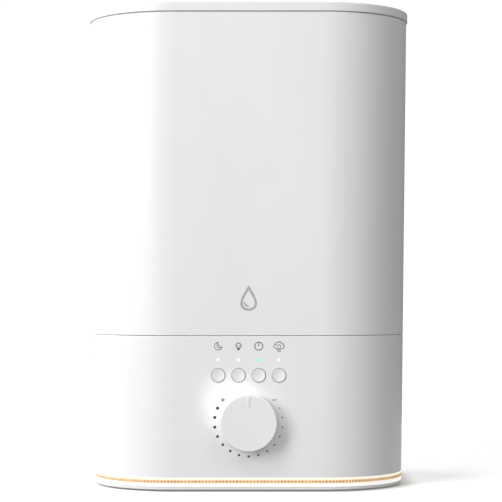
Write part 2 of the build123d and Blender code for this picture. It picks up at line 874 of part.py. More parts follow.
with BuildPart() as fan_shaft:
    bar(fan_place, fan_shaft_radius, z_fan_hub + shaft_end_gap, z_bore_end - shaft_tip_clearance)
fan_shaft.part.label = "fan_shaft"
export_step(fan_shaft.part, "parts/fan_shaft.step")

with BuildPart() as fan_screws:
    bar(fan_posts, pilot_radius - screw_play, z_plate - fan_screw_tip, z_fan_top)
    bar(fan_posts, pan_head_radius, z_fan_top, z_fan_top + pan_head_height)
fan_screws.part.label = "fan_screws"
export_step(fan_screws.part, "parts/fan_screws.step")

with BuildPart() as intake_filter:
    bar(fan_place, intake_radius + filter_overlap, z_plate, z_plate + filter_height)
intake_filter.part.label = "intake_filter"
export_step(intake_filter.part, "parts/intake_filter.step")

z_duct_foot = z_fan_top + duct_foot
z_duct_bend = z_duct_foot + duct_bend_height


def duct_foot_section(z, wall):
    """The duct's section over the fan, inside a part."""
    with BuildSketch(Plane.XY.offset(z)) as section:
        with Locations(*fan_place):
            side = fan_size - 2 * wall
            RectangleRounded(side, side, fan_corner - wall)
    return section.sketch


def duct_neck_section(z, wall):
    """The duct's section where it passes through the deck."""
    with BuildSketch(Plane.XY.offset(z)) as section:
        with Locations((duct_x, duct_y)):
            RectangleRounded(duct_width - 2 * wall, duct_depth - 2 * wall, duct_corner - wall)
    return section.sketch


with BuildPart() as air_duct:
    for wall, mode in ((0.0, Mode.ADD), (duct_wall, Mode.SUBTRACT)):
        extrude(duct_foot_section(z_fan_top, wall), amount=duct_foot, mode=mode)
        loft([duct_foot_section(z_duct_foot, wall), duct_neck_section(z_duct_bend, wall)], mode=mode)
        neck = duct_neck_section(z_duct_bend, wall)
        extrude(neck, amount=z_duct_top - z_duct_bend, mode=mode)
air_duct.part.label = "air_duct"
export_step(air_duct.part, "parts/air_duct.step")

# ---------------------------------------------------------------- base: main board
with BuildPart() as main_board:
    with BuildSketch(Plane.XY.offset(z_board)):
        with Locations((board_x, board_y)):
            RectangleRounded(board_length_x, board_length_y, board_corner)
        with Locations(*standoffs):
            Circle(board_screw_radius + seat_clearance, mode=Mode.SUBTRACT)
    extrude(amount=board_thickness)
main_board.part.label = "main_board"
export_step(main_board.part, "parts/main_board.step")

with BuildPart() as board_components:
    # Two storage capacitors and a choke
    for x, y, radius, height in round_components:
        bar([(board_x + x, board_y + y)], radius, z_board_top, z_board_top + height)
    # Controller, driver, fan and transducer sockets
    for x, y, size_x, size_y, height in square_components:
        with Locations((board_x + x, board_y + y, z_board_top)):
            Box(size_x, size_y, height, align=(Align.CENTER, Align.CENTER, Align.MIN))
board_components.part.label = "board_components"
export_step(board_components.part, "parts/board_components.step")

heatsink_y = board_y - heatsink_back_off

with BuildPart() as driver_heatsink:
    with Locations((board_x, heatsink_y, z_board_top)):
        Box(
            heatsink_length,
            heatsink_depth,
            heatsink_base,
            align=(Align.CENTER, Align.CENTER, Align.MIN),
        )
    fin_pitch = (heatsink_depth - fin_thickness) / (fin_count - 1)
    with Locations((board_x, heatsink_y, z_board_top + heatsink_base)):
        with GridLocations(0, fin_pitch, 1, fin_count):
            Box(
                heatsink_length,
                fin_thickness,
                heatsink_height - heatsink_base,
                align=(Align.CENTER, Align.CENTER, Align.MIN),
            )
driver_heatsink.part.label = "driver_heatsink"
export_step(driver_heatsink.part, "parts/driver_heatsink.step")

# ---------------------------------------------------------------- base: power inlet
mouth = half_depth(z_inlet) - inlet_recess
inlet_floor = mouth - inlet_cavity_depth
block_front = half_depth(z_inlet) - base_wall - inlet_recess
inlet_place = [(inlet_x, z_inlet)]

with BuildPart() as power_inlet:
    with Locations((inlet_x, block_front - inlet_block_depth / 2, z_inlet)):
        Box(inlet_block_width, inlet_block_depth, inlet_block_height)
    front_bar(inlet_place, inlet_barrel_radius, block_front, mouth)
    front_bar(inlet_place, inlet_cavity_radius, inlet_floor, mouth, Mode.SUBTRACT)
power_inlet.part.label = "power_inlet"
export_step(power_inlet.part, "parts/power_inlet.step")

with BuildPart() as inlet_pin:
    front_bar(inlet_place, inlet_pin_radius, inlet_floor, inlet_floor + inlet_pin_length)
    fillet(inlet_pin.faces().sort_by(Axis.Y)[-1].edges(), inlet_pin_tip_radius)
inlet_pin.part.label = "inlet_pin"
export_step(inlet_pin.part, "parts/inlet_pin.step")

# ---------------------------------------------------------------- base: control board
board_boss_places = [(x, z) for x in (-board_boss_x, board_boss_x) for z in board_boss_z]
control_board_height = control_board_high - control_board_low
control_board_middle = (control_board_high + control_board_low) / 2
switch_front = board_front - switch_height

with BuildPart() as control_board:
    with BuildSketch(facing(board_front)):
        with Locations((0, control_board_middle)):
            RectangleRounded(control_board_width, control_board_height, board_corner)
        with Locations(*board_boss_places):
            Circle(board_screw_radius + seat_clearance, mode=Mode.SUBTRACT)
    extrude(amount=-board_thickness)
control_board.part.label = "control_board"
export_step(control_board.part, "parts/control_board.step")

with BuildPart() as board_screws:
    thread_radius = board_screw_radius - screw_play
    bar(standoffs, thread_radius, z_board - board_screw_depth, z_board_top)
    bar(standoffs, board_screw_head, z_board_top, z_board_top + board_screw_head_height)
    board_rear = board_front + board_thickness
    head_rear = board_rear + board_screw_head_height
    front_bar(board_boss_places, thread_radius, board_front - boss_screw_depth, board_rear)
    front_bar(board_boss_places, board_screw_head, board_rear, head_rear)
board_screws.part.label = "board_screws"
export_step(board_screws.part, "parts/board_screws.step")

with BuildPart() as key_switches:
    with BuildSketch(facing(board_front)):
        with Locations(*button_places):
            RectangleRounded(switch_size, switch_size, switch_corner)
    extrude(amount=switch_height)
    bore_depth = button_stem_entry + button_travel + switch_bore_spare
    bore = button_stem_radius + switch_bore_clearance
    front_bar(button_places, bore, switch_front, switch_front + bore_depth, Mode.SUBTRACT)
key_switches.part.label = "key_switches"
export_step(key_switches.part, "parts/key_switches.step")

with BuildPart() as indicator_leds:
    with BuildSketch(facing(board_front)):
        with Locations(*indicator_places):
            Rectangle(indicator_led_size, indicator_led_size)
    extrude(amount=indicator_led_height)
indicator_leds.part.label = "indicator_leds"
export_step(indicator_leds.part, "parts/indicator_leds.step")

with BuildPart() as indicator_lenses:
    wall_inner = wall_indicator + base_wall + lens_clearance
    pipe_end = board_front - indicator_led_height - lens_led_gap
    front_bar(indicator_places, lens_radius, wall_indicator - lens_proud, pipe_end)
    fillet(indicator_lenses.faces().group_by(Axis.Y)[0].edges(), lens_edge_radius)
    front_bar(indicator_places, lens_head_radius, wall_inner, wall_inner + lens_head_thickness)
indicator_lenses.part.label = "indicator_lenses"
export_step(indicator_lenses.part, "parts/indicator_lenses.step")

# ---------------------------------------------------------------- dial
dial_place = [(0, dial_z)]
pot_front = wall_dial + base_wall + pot_gap
bushing_front = wall_dial - bushing_stand_out
dial_back = wall_dial - dial_gap
dial_front = dial_back - dial_depth
dial_hollow_front = dial_front + dial_face_thickness
shaft_front = dial_hollow_front - shaft_into_face
shaft_rear = pot_front + pot_bore_depth - shaft_rear_clearance

with BuildPart() as dial_potentiometer:
    front_bar(dial_place, pot_radius, pot_front, board_front)
    front_bar(dial_place, bushing_radius, bushing_front, pot_front)
    bore = dial_shaft_radius + running_clearance
    front_bar(dial_place, bore, bushing_front, pot_front + pot_bore_depth, Mode.SUBTRACT)
dial_potentiometer.part.label = "dial_potentiometer"
export_step(dial_potentiometer.part, "parts/dial_potentiometer.step")

with BuildPart() as dial_nut:
    with BuildSketch(facing(wall_dial - pot_gap)):
        with Locations(*dial_place):
            RegularPolygon(nut_across_corners / 2, 6)
            Circle(bushing_radius + screw_play, mode=Mode.SUBTRACT)
    extrude(amount=nut_thickness)
dial_nut.part.label = "dial_nut"
export_step(dial_nut.part, "parts/dial_nut.step")

with BuildPart() as dial_shaft:
    front_bar(dial_place, dial_shaft_radius, shaft_front, shaft_rear)
dial_shaft.part.label = "dial_shaft"
export_step(dial_shaft.part, "parts/dial_shaft.step")

with BuildPart() as dial_knob:
    front_bar(dial_place, dial_radius, dial_front, dial_back)
    fillet(dial_knob.faces().sort_by(Axis.Y)[0].edges(), dial_edge_radius)
    hollow_radius = dial_radius - dial_skirt_wall
    front_bar(dial_place, hollow_radius, dial_hollow_front, dial_back, Mode.SUBTRACT)
    front_bar(dial_place, dial_boss_radius, dial_hollow_front, bushing_front - sliding_clearance)
    bore = dial_shaft_radius + screw_play
    front_bar(dial_place, bore, shaft_front - shaft_tip_clearance, bushing_front, Mode.SUBTRACT)
    # Pointer rib on the face, at twelve o'clock
    with BuildSketch(facing(dial_front)):
        with Locations((0, dial_z + dial_radius - pointer_margin - pointer_length / 2)):
            RectangleRounded(pointer_width, pointer_length, pointer_width / 3)
    extrude(amount=pointer_height)
    fillet(dial_knob.faces().sort_by(Axis.Y)[0].edges(), pointer_edge_radius)
dial_knob.part.label = "dial_knob"
export_step(dial_knob.part, "parts/dial_knob.step")

# ---------------------------------------------------------------- buttons
button_front = wall_button - button_proud
flange_front = wall_button + base_wall + button_flange_gap
flange_radius = button_radius + button_hole_clearance + button_flange
stem_end = switch_front + button_stem_entry
dish_reach = button_radius - button_dish_rim
dish_radius = (dish_reach**2 + button_dish_depth**2) / (2 * button_dish_depth)
dish_centre = button_front - dish_radius + button_dish_depth

for name, x in zip(("sleep_button", "light_button", "timer_button", "mist_button"), button_columns):
    place = [(x, button_z)]
    with BuildPart() as button:
        front_bar(place, button_radius, button_front, flange_front)
        fillet(button.faces().sort_by(Axis.Y)[0].edges(), button_edge_radius)
        with Locations((x, dish_centre, button_z)):
            Sphere(dish_radius, mode=Mode.SUBTRACT)
        flange_rear = flange_front + button_flange_thickness
        front_bar(place, flange_radius, flange_front, flange_rear)
        front_bar(place, button_stem_radius, flange_rear, stem_end)
    button.part.label = name
    export_step(button.part, f"parts/{name}.step")

# ---------------------------------------------------------------- aroma drawer
tray_back = wall_back - base_wall
tray_front = tray_back - drawer_depth
bay_inner_width = drawer_width + 2 * sliding_clearance
bay_inner_height = drawer_height + 2 * sliding_clearance
bay_front = tray_front - sliding_clearance - bay_wall
bay_back = wall_back - base_wall - bay_flange_gap

with BuildPart() as aroma_bay:
    with BuildSketch(facing(bay_front)):
        with Locations((drawer_x, drawer_z)):
            width = bay_inner_width + 2 * bay_wall
            RectangleRounded(width, bay_inner_height + 2 * bay_wall, bay_corner)
    extrude(amount=bay_front - bay_back)
    with BuildSketch(facing(bay_back)):
        with Locations((drawer_x, drawer_z)):
            width = bay_inner_width + 2 * (bay_wall + bay_flange)
            height = bay_inner_height + 2 * (bay_wall + bay_flange)
            RectangleRounded(width, height, bay_flange_corner)
    extrude(amount=bay_wall)
    with BuildSketch(facing(bay_front + bay_wall)):
        with Locations((drawer_x, drawer_z)):
            Rectangle(bay_inner_width, bay_inner_height)
    extrude(amount=bay_front + bay_wall - bay_back, mode=Mode.SUBTRACT)
    # Vents through its inner end
    with BuildSketch(facing(bay_front)):
        with Locations((drawer_x, drawer_z)):
            with GridLocations(vent_pitch, 0, vent_count, 1):
                SlotOverall(vent_length, vent_width, rotation=90)
    extrude(amount=-bay_wall, mode=Mode.SUBTRACT)
aroma_bay.part.label = "aroma_bay"
export_step(aroma_bay.part, "parts/aroma_bay.step")

with BuildPart() as aroma_drawer:
    with BuildSketch(facing(tray_back)):
        with Locations((drawer_x, drawer_z)):
            RectangleRounded(drawer_front_width, drawer_front_height, drawer_front_corner)
    extrude(amount=-base_wall)
    with Locations((drawer_x, (tray_front + tray_back) / 2, drawer_z)):
        Box(drawer_width, drawer_depth, drawer_height)
    tray_floor = drawer_z - drawer_height / 2 + drawer_wall
    with Locations((drawer_x, (tray_front + tray_back) / 2, tray_floor)):
        Box(
            drawer_width - 2 * drawer_wall,
            drawer_depth - 2 * drawer_wall,
            drawer_height,
            align=(Align.CENTER, Align.CENTER, Align.MIN),
            mode=Mode.SUBTRACT,
        )
    # Finger recess along the front's lower edge
    with BuildSketch(facing(wall_back)):
        with Locations((drawer_x, drawer_z - drawer_front_height / 2)):
            SlotOverall(grip_width, grip_height)
    extrude(amount=grip_depth, mode=Mode.SUBTRACT)
aroma_drawer.part.label = "aroma_drawer"
export_step(aroma_drawer.part, "parts/aroma_drawer.step")

with BuildPart() as aroma_pad:
    with BuildSketch(Plane.XY.offset(tray_floor)):
        with Locations((drawer_x, (tray_front + tray_back) / 2)):
            margin = 2 * (drawer_wall + pad_clearance)
            RectangleRounded(drawer_width - margin, drawer_depth - margin, pad_corner)
    extrude(amount=pad_height)
aroma_pad.part.label = "aroma_pad"
export_step(aroma_pad.part, "parts/aroma_pad.step")

# ---------------------------------------------------------------- tank
valve_place = [(valve_x, 0)]
z_neck = z_tank - neck_length
z_floor_top = z_tank + tank_floor

with BuildPart() as tank_shell:
    body_block(z_tank, z_tank_top)
    fillet(tank_shell.faces().sort_by(Axis.Z)[0].outer_wire().edges(), tank_foot_radius)
    fillet(tank_shell.faces().sort_by(Axis.Z)[-1].outer_wire().edges(), tank_edge_radius)
    body_block(z_floor_top, z_tank_top, tank_wall, Mode.SUBTRACT)
    # Spigot that drops inside the base's rim and stands on the basin's deck
    body_block(z_deck_top, z_tank, base_wall + spigot_clearance)
    body_block(z_deck_top, z_tank, base_wall + spigot_clearance + spigot_wall, Mode.SUBTRACT)
    # Neck for the valve cap, and the hole for the mist tube
    bar(valve_place, neck_radius, z_neck, z_tank)
    bar(valve_place, neck_bore_radius, z_neck, z_floor_top, Mode.SUBTRACT)
    bar([(0, 0)], tube_radius + seat_clearance, z_tank, z_floor_top, Mode.SUBTRACT)
tank_shell.part.label = "tank_shell"
export_step(tank_shell.part, "parts/tank_shell.step")

z_tube_flange = z_floor_top + tube_gasket_height

with BuildPart() as mist_tube:
    bar([(0, 0)], tube_radius, z_tank - tube_skirt, z_tank_top - tube_top_gap)
    bar([(0, 0)], tube_flange_radius, z_tube_flange, z_tube_flange + tube_flange_height)
    bore = tube_radius - tube_wall
    bar([(0, 0)], bore, z_tank - tube_skirt, z_tank_top - tube_top_gap, Mode.SUBTRACT)
mist_tube.part.label = "mist_tube"
export_step(mist_tube.part, "parts/mist_tube.step")

with BuildPart() as tube_gasket:
    inner = tube_radius + seat_clearance
    ring([(0, 0)], tube_flange_radius, inner, z_floor_top, z_tube_flange)
tube_gasket.part.label = "tube_gasket"
export_step(tube_gasket.part, "parts/tube_gasket.step")

# ---------------------------------------------------------------- tank valve
z_seat = z_neck - neck_gasket_height
z_cap = z_seat - cap_floor
z_cage_top = z_seat + cage_height
z_seal = z_seat + valve_open_gap
z_head = z_seal + plunger_seal_height
z_head_top = z_head + plunger_head_height
stem_bore = plunger_stem_radius + valve_guide_clearance

with BuildPart() as valve_cap:
    bar(valve_place, cap_radius, z_cap, z_cap + cap_height)
    bar(valve_place, neck_radius + cap_clearance, z_seat, z_cap + cap_height, Mode.SUBTRACT)
    bar(valve_place, valve_seat_radius, z_cap, z_seat, Mode.SUBTRACT)
    # Finger grips round the rim
    with BuildSketch(Plane.XY.offset(z_cap)):
        with Locations(*valve_place):
            with PolarLocations(cap_radius + cap_grip_stand_off, cap_grip_count):
                Circle(cap_grip_radius)
    extrude(amount=cap_height, mode=Mode.SUBTRACT)
    # Hub that guides the stem, on three spokes under the seat
    with BuildSketch(Plane.XY.offset(z_cap - valve_hub_depth)):
        with Locations(*valve_place):
            Circle(valve_hub_radius)
            with PolarLocations((valve_hub_radius + valve_seat_radius) / 2, 3):
                Rectangle(valve_seat_radius, valve_spoke)
            Circle(stem_bore, mode=Mode.SUBTRACT)
    extrude(amount=valve_hub_depth)
valve_cap.part.label = "valve_cap"
export_step(valve_cap.part, "parts/valve_cap.step")

with BuildPart() as neck_gasket:
    ring(valve_place, neck_radius, neck_radius - neck_gasket_width, z_seat, z_neck)
neck_gasket.part.label = "neck_gasket"
export_step(neck_gasket.part, "parts/neck_gasket.step")

with BuildPart() as valve_cage:
    cage_inner = cage_ring_radius - cage_ring_wall
    ring(valve_place, cage_ring_radius, cage_inner, z_seat, z_seat + cage_ring_height)
    with BuildSketch(Plane.XY.offset(z_seat + cage_ring_height)):
        with Locations(*valve_place):
            with PolarLocations(cage_ring_radius - cage_ring_wall / 2, 3):
                Rectangle(cage_leg, cage_leg)
    extrude(amount=cage_height - cage_ring_height)
    with BuildSketch(Plane.XY.offset(z_cage_top - cage_top)):
        with Locations(*valve_place):
            Circle(spring_radius + cage_hub_wall)
            with PolarLocations(cage_ring_radius / 2, 3):
                Rectangle(cage_ring_radius, cage_leg)
            Circle(stem_bore, mode=Mode.SUBTRACT)
    extrude(amount=cage_top)
valve_cage.part.label = "valve_cage"
export_step(valve_cage.part, "parts/valve_cage.step")

with BuildPart() as valve_plunger:
    z_stem = z_basin + valve_post_height + valve_post_gap
    z_stem_top = z_cage_top + valve_open_gap + plunger_tip_spare
    bar(valve_place, plunger_stem_radius, z_stem, z_stem_top)
    fillet(valve_plunger.faces().sort_by(Axis.Z)[0].edges(), plunger_tip_radius)
    bar(valve_place, plunger_head_radius, z_head, z_head_top)
valve_plunger.part.label = "valve_plunger"
export_step(valve_plunger.part, "parts/valve_plunger.step")

with BuildPart() as valve_seal:
    inner = plunger_stem_radius + screw_play
    ring(valve_place, plunger_head_radius, inner, z_seal, z_head)
valve_seal.part.label = "valve_seal"
export_step(valve_seal.part, "parts/valve_seal.step")

spring_low = z_head_top + spring_wire_radius + screw_play
spring_high = z_cage_top - cage_top - spring_wire_radius - screw_play
with BuildPart() as valve_spring:
    with BuildLine() as coil:
        Helix(
            pitch=(spring_high - spring_low) / spring_turns,
            height=spring_high - spring_low,
            radius=spring_radius,
            center=(valve_x, 0, spring_low),
        )
    with BuildSketch(Plane(origin=coil.line @ 0, z_dir=coil.line % 0)):
        Circle(spring_wire_radius)
    sweep(is_frenet=True)
valve_spring.part.label = "valve_spring"
export_step(valve_spring.part, "parts/valve_spring.step")

# ---------------------------------------------------------------- lid
z_cover_under = z_top - lid_plate
z_dish = z_top - dish_depth
z_liner_top = z_tank_top + liner_plate
z_nozzle = z_liner_top + nozzle_seat_gap
cover_inset = lid_wall - lid_overhang

with BuildPart() as lid_cover:
    body_block(z_lid, z_top, -lid_overhang)
    fillet(lid_cover.faces().sort_by(Axis.Z)[-1].outer_wire().edges(), lid_edge_radius)
    fillet(lid_cover.faces().sort_by(Axis.Z)[0].outer_wire().edges(), lid_lower_radius)
    body_block(z_lid, z_cover_under, cover_inset, Mode.SUBTRACT)
    body_block(z_dish, z_top, dish_inset, Mode.SUBTRACT)
    dish_floor = lid_cover.faces().filter_by(Plane.XY).sort_by(Axis.Z)[-2]
    fillet(dish_floor.outer_wire().edges(), dish_edge_radius)
    hole_radius = nozzle_flange_radius + nozzle_hole_clearance
    bar([(0, 0)], hole_radius, z_cover_under, z_top, Mode.SUBTRACT)
lid_cover.part.label = "lid_cover"
export_step(lid_cover.part, "parts/lid_cover.step")

spigot_inset = tank_wall + liner_spigot_clearance
spigot_low = z_tank_top - liner_spigot_depth
groove_low = spigot_low + gasket_groove_lift
groove_high = groove_low + gasket_height
groove_inset = spigot_inset + gasket_groove_depth

with BuildPart() as lid_liner:
    body_block(z_tank_top, z_liner_top, cover_inset + liner_clearance)
    # Spigot inside the tank's rim, with a groove for the gasket
    body_block(spigot_low, groove_low, spigot_inset)
    body_block(groove_low, groove_high, groove_inset)
    body_block(groove_high, z_tank_top, spigot_inset)
    body_block(spigot_low, z_tank_top, spigot_inset + liner_spigot_wall, Mode.SUBTRACT)
    # Collar round the mist tube's top, and the nozzle's seat
    collar_inner = tube_radius + sliding_clearance
    collar_outer = collar_inner + collar_wall
    ring([(0, 0)], collar_outer, collar_inner, z_tank_top - collar_depth, z_tank_top)
    seat_radius = nozzle_skirt_radius + sliding_clearance
    bar([(0, 0)], seat_radius, z_tank_top, z_liner_top, Mode.SUBTRACT)
lid_liner.part.label = "lid_liner"
export_step(lid_liner.part, "parts/lid_liner.step")

with BuildPart() as lid_gasket:
    body_block(groove_low, groove_high, tank_wall + gasket_lip)
    body_block(groove_low, groove_high, groove_inset, Mode.SUBTRACT)
lid_gasket.part.label = "lid_gasket"
export_step(lid_gasket.part, "parts/lid_gasket.step")

z_nozzle_flange = z_nozzle + nozzle_flange_height
z_crown = z_nozzle_flange + nozzle_rise
dome_radius = (nozzle_dome_radius**2 + nozzle_rise**2) / (2 * nozzle_rise)
z_dome_centre = z_crown - dome_radius


def dome_point(radius, r):
    """A point on a sphere round the dome's centre, at distance r from the axis."""
    return (r, z_dome_centre + math.sqrt(radius**2 - r**2))


with BuildPart() as mist_nozzle:
    nozzle_bore = nozzle_skirt_radius - nozzle_skirt_wall
    inner_radius = dome_radius - nozzle_wall
    z_skirt = z_nozzle - nozzle_skirt_depth
    with BuildSketch(Plane.XZ):
        with BuildLine():
            Line((0, z_crown - nozzle_wall), (0, z_crown))
            ThreePointArc(
                (0, z_crown),
                dome_point(dome_radius, nozzle_dome_radius / 2),
                (nozzle_dome_radius, z_nozzle_flange),
            )
            Polyline(
                (nozzle_dome_radius, z_nozzle_flange),
                (nozzle_flange_radius, z_nozzle_flange),
                (nozzle_flange_radius, z_nozzle),
                (nozzle_skirt_radius, z_nozzle),
                (nozzle_skirt_radius, z_skirt),
                (nozzle_bore, z_skirt),
                dome_point(inner_radius, nozzle_bore),
            )
            ThreePointArc(
                dome_point(inner_radius, nozzle_bore),
                dome_point(inner_radius, nozzle_bore / 2),
                (0, z_crown - nozzle_wall),
            )
        make_face()
    revolve(axis=Axis.Z)
    # Outlet slot that leans towards the front
    slot_place = (0, -nozzle_slot_front, z_crown - nozzle_slot_drop)
    with Locations(Location(slot_place, (nozzle_slot_lean, 0, 0))):
        Box(nozzle_slot_width, nozzle_slot_height, nozzle_slot_cut, mode=Mode.SUBTRACT)
mist_nozzle.part.label = "mist_nozzle"
export_step(mist_nozzle.part, "parts/mist_nozzle.step")
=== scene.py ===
"""Cool mist humidifier: finishes, printed marks, light band, foam and studio built round its CAD frame.

Metres, +Z up, the front faces -Y. Every new piece is worked out from the boxes of the CAD nodes.
"""
import math

import bmesh
import bpy
import numpy as np
from bpy.props import FloatProperty, FloatVectorProperty, IntProperty, PointerProperty
from bpy.types import Operator, Panel, PropertyGroup
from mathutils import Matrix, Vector


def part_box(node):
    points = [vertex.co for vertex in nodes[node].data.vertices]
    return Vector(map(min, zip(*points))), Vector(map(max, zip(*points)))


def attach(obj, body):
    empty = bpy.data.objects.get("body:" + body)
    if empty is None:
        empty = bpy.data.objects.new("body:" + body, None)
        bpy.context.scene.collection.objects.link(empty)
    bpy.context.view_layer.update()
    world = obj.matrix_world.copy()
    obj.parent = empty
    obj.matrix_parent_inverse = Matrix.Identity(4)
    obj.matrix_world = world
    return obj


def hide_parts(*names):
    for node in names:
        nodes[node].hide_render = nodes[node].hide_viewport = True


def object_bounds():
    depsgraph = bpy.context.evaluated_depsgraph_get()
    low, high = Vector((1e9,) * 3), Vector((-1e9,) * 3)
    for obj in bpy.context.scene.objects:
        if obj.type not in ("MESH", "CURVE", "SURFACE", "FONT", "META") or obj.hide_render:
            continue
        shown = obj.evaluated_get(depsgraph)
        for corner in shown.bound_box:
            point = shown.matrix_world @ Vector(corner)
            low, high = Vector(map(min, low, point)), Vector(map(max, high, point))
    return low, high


bl_info = {
    "name": "Cool Mist Humidifier",
    "version": (1, 0, 0),
    "blender": (4, 5, 0),
    "location": "3D View > Sidebar > Humidifier",
    "description": "Dresses the humidifier's CAD frame with finishes, prints, a light band and a studio",
    "category": "Object",
}

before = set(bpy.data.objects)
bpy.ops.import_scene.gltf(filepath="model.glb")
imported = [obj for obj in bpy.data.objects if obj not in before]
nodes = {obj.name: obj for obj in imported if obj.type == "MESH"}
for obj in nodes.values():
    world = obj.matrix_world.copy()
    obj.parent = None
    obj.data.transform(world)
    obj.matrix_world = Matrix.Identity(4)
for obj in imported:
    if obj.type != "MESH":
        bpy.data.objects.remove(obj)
cad_low, cad_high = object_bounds()
MM = 0.001


# ---------------------------------------------------------------- places read from the frame
def middle(node):
    """The centre of a node's box."""
    low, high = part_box(node)
    return (low + high) / 2


def front_slope():
    """The front wall's lean: how much y changes for each metre of height."""
    band_low, band_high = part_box("light_band")
    tank_low, tank_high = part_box("tank_shell")
    return (tank_low.y - band_low.y) / (tank_high.z - band_high.z)


FRONT_SLOPE = front_slope()
BAND_LOW, BAND_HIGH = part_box("light_band")


def front_y(z):
    """The y of the front wall's outer face at height z, on the line through the band's and the tank's top."""
    return BAND_LOW.y + (z - BAND_HIGH.z) * FRONT_SLOPE


def corner_centre():
    """The centre of the front right corner's arc: the end of the band's flat front, a radius inside it."""
    mesh = nodes["light_band"].data
    points = np.empty(len(mesh.vertices) * 3, np.float32)
    mesh.vertices.foreach_get("co", points)
    points = points.reshape(-1, 3)
    on_front = points[points[:, 1] < BAND_LOW.y + 0.01 * MM]
    flat_end = float(on_front[:, 0].max())
    radius = BAND_HIGH.x - flat_end
    return flat_end, BAND_LOW.y + radius, radius


CORNER_X, CORNER_Y, CORNER_RADIUS = corner_centre()
BEAD_FILL = 0.92              # a bead's length as a share of the pitch
HALO_SHIFT = 11 * MM          # from the dial's axis to the bright patch, to the left and up
HALO_RADIUS = 24 * MM
HALO_REACH = 0.53             # from the spot to the wall
CAMERA_SHIFT = 1.5 * MM       # the camera stands this far right of the middle


# ---------------------------------------------------------------- sizes and colours a user may change
def length(name, text, metres):
    """A length a user may change."""
    return FloatProperty(name=name, description=text, default=metres, unit="LENGTH", precision=5)


def tint(name, text, colour):
    """A colour a user may change."""
    return FloatVectorProperty(name=name, description=text, default=colour, subtype="COLOR", min=0, max=1)


def power(name, watts):
    """The power setting of one lamp."""
    return FloatProperty(name=name, description="The lamp's power in watts", default=watts)


class PrintSizes(PropertyGroup):
    """The marks printed on the front."""

    ink_height: length("Ink height", "How far a print stands out of the wall", 0.05 * MM)
    scale_radius: length("Scale radius", "From the dial's axis to the dots", 21.8 * MM)
    scale_gap: FloatProperty(
        name="Scale gap", description="Angle from twelve o'clock to the minus and the plus",
        default=math.radians(49.1), subtype="ANGLE")
    dot_count: IntProperty(name="Dots", description="Dots between the minus and the plus", default=15)
    dot_small: length("Smallest dot", "Radius of the dot beside the minus", 0.5 * MM)
    dot_large: length("Largest dot", "Radius of the dot beside the plus", 1.02 * MM)
    sign_length: length("Sign", "Length of the plus and minus strokes", 2.3 * MM)
    sign_stroke: length("Sign stroke", "Width of the plus and minus strokes", 0.62 * MM)
    icon_stroke: length("Icon stroke", "Width of the lines of the four symbols", 0.58 * MM)
    icon_height: length("Icon height", "The symbols' centres above the indicator lenses", 8.8 * MM)
    drop_height: length(
        "Drop mark height", "The water drop's centre above the housing's top edge", 24.0 * MM)
    drop_size: length("Drop mark size", "Half the water drop's height", 7.2 * MM)


class BandSizes(PropertyGroup):
    """The row of beads in the light band."""

    bead_pitch: length("Bead pitch", "From one bead to the next", 2.2 * MM)
    bead_height: length("Bead height", "Full height of a bead", 2.0 * MM)
    bead_depth: length("Bead depth", "How far a bead stands out of the band", 0.35 * MM)
    bead_drop: length("Bead drop", "The row's middle below the band's top edge", 2.5 * MM)


class Colours(PropertyGroup):
    """Colours of the visible finishes, as linear light."""

    shell: tint("Shell", "White of the tank, lid and housing", (0.84, 0.84, 0.84))
    control: tint("Controls", "White of the dial and the buttons", (0.83, 0.83, 0.83))
    ink: tint("Ink", "Dark grey of the dots and symbols", (0.07, 0.07, 0.075))
    drop: tint("Drop mark", "Grey of the water drop", (0.38, 0.38, 0.39))
    glow: tint("Glow", "Warm light of the band", (1.0, 0.93, 0.74))
    bead: tint("Beads", "Amber of the beads", (0.50, 0.28, 0.12))
    lit: tint("Lit lens", "Colour of the indicator that is on", (0.10, 0.72, 0.70))


class Studio(PropertyGroup):
    """Camera, floor and lamps."""

    lens: FloatProperty(name="Lens", description="Focal length in millimetres", default=124.06)
    distance: length("Distance", "From the tank's front edge to the camera", 1.1)
    eye_height: length("Eye height", "The camera above the floor", 0.1287)
    rise: FloatProperty(name="Rise", description="Upward shift of the frame", default=0.0776)
    floor_radius: length("Floor", "Radius of the round floor", 0.6)
    lamp_ring: length("Lamp ring", "Radius of the ring that the soft lamps stand on", 2.0)
    left_rear_power: power("Left rear", 24.0)
    left_side_power: power("Left side", 12.0)
    left_power: power("Left", 24.5)
    key_power: power("Key", 9.0)
    right_power: power("Right", 7.0)
    low_power: power("Low front", 3.8)
    halo_power: power("Dial halo", 3.4)
    rim_power: power("Dial rim", 1.3)
    room_light: FloatProperty(name="Room", description="Brightness of the room's soft light", default=0.24)


class Humidifier(PropertyGroup):
    """All the settings, kept on the scene."""

    prints: PointerProperty(type=PrintSizes)
    band: PointerProperty(type=BandSizes)
    colours: PointerProperty(type=Colours)
    studio: PointerProperty(type=Studio)


# ---------------------------------------------------------------- surfaces
def build(name, parts, material, body):
    """One piece from a list of (points, faces).

    Doubles are merged, faces turned outwards, and the surface is smooth except at its sharp edges.
    """
    points = np.concatenate([part[0] for part in parts])
    faces = []
    start = 0
    for part_points, part_faces in parts:
        faces.extend((np.asarray(part_faces) + start).tolist())
        start += len(part_points)
    mesh = bpy.data.meshes.new(name)
    mesh.from_pydata(points.tolist(), [], faces)
    work = bmesh.new()
    work.from_mesh(mesh)
    bmesh.ops.remove_doubles(work, verts=work.verts, dist=1e-6)
    bmesh.ops.recalc_face_normals(work, faces=work.faces)
    work.to_mesh(mesh)
    work.free()
    mesh.polygons.foreach_set("use_smooth", np.ones(len(mesh.polygons), bool))
    mesh.set_sharp_from_angle(angle=math.radians(40))
    mesh.materials.append(material)
    piece = bpy.data.objects.new(name, mesh)
    bpy.context.scene.collection.objects.link(piece)
    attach(piece, body)
    return piece


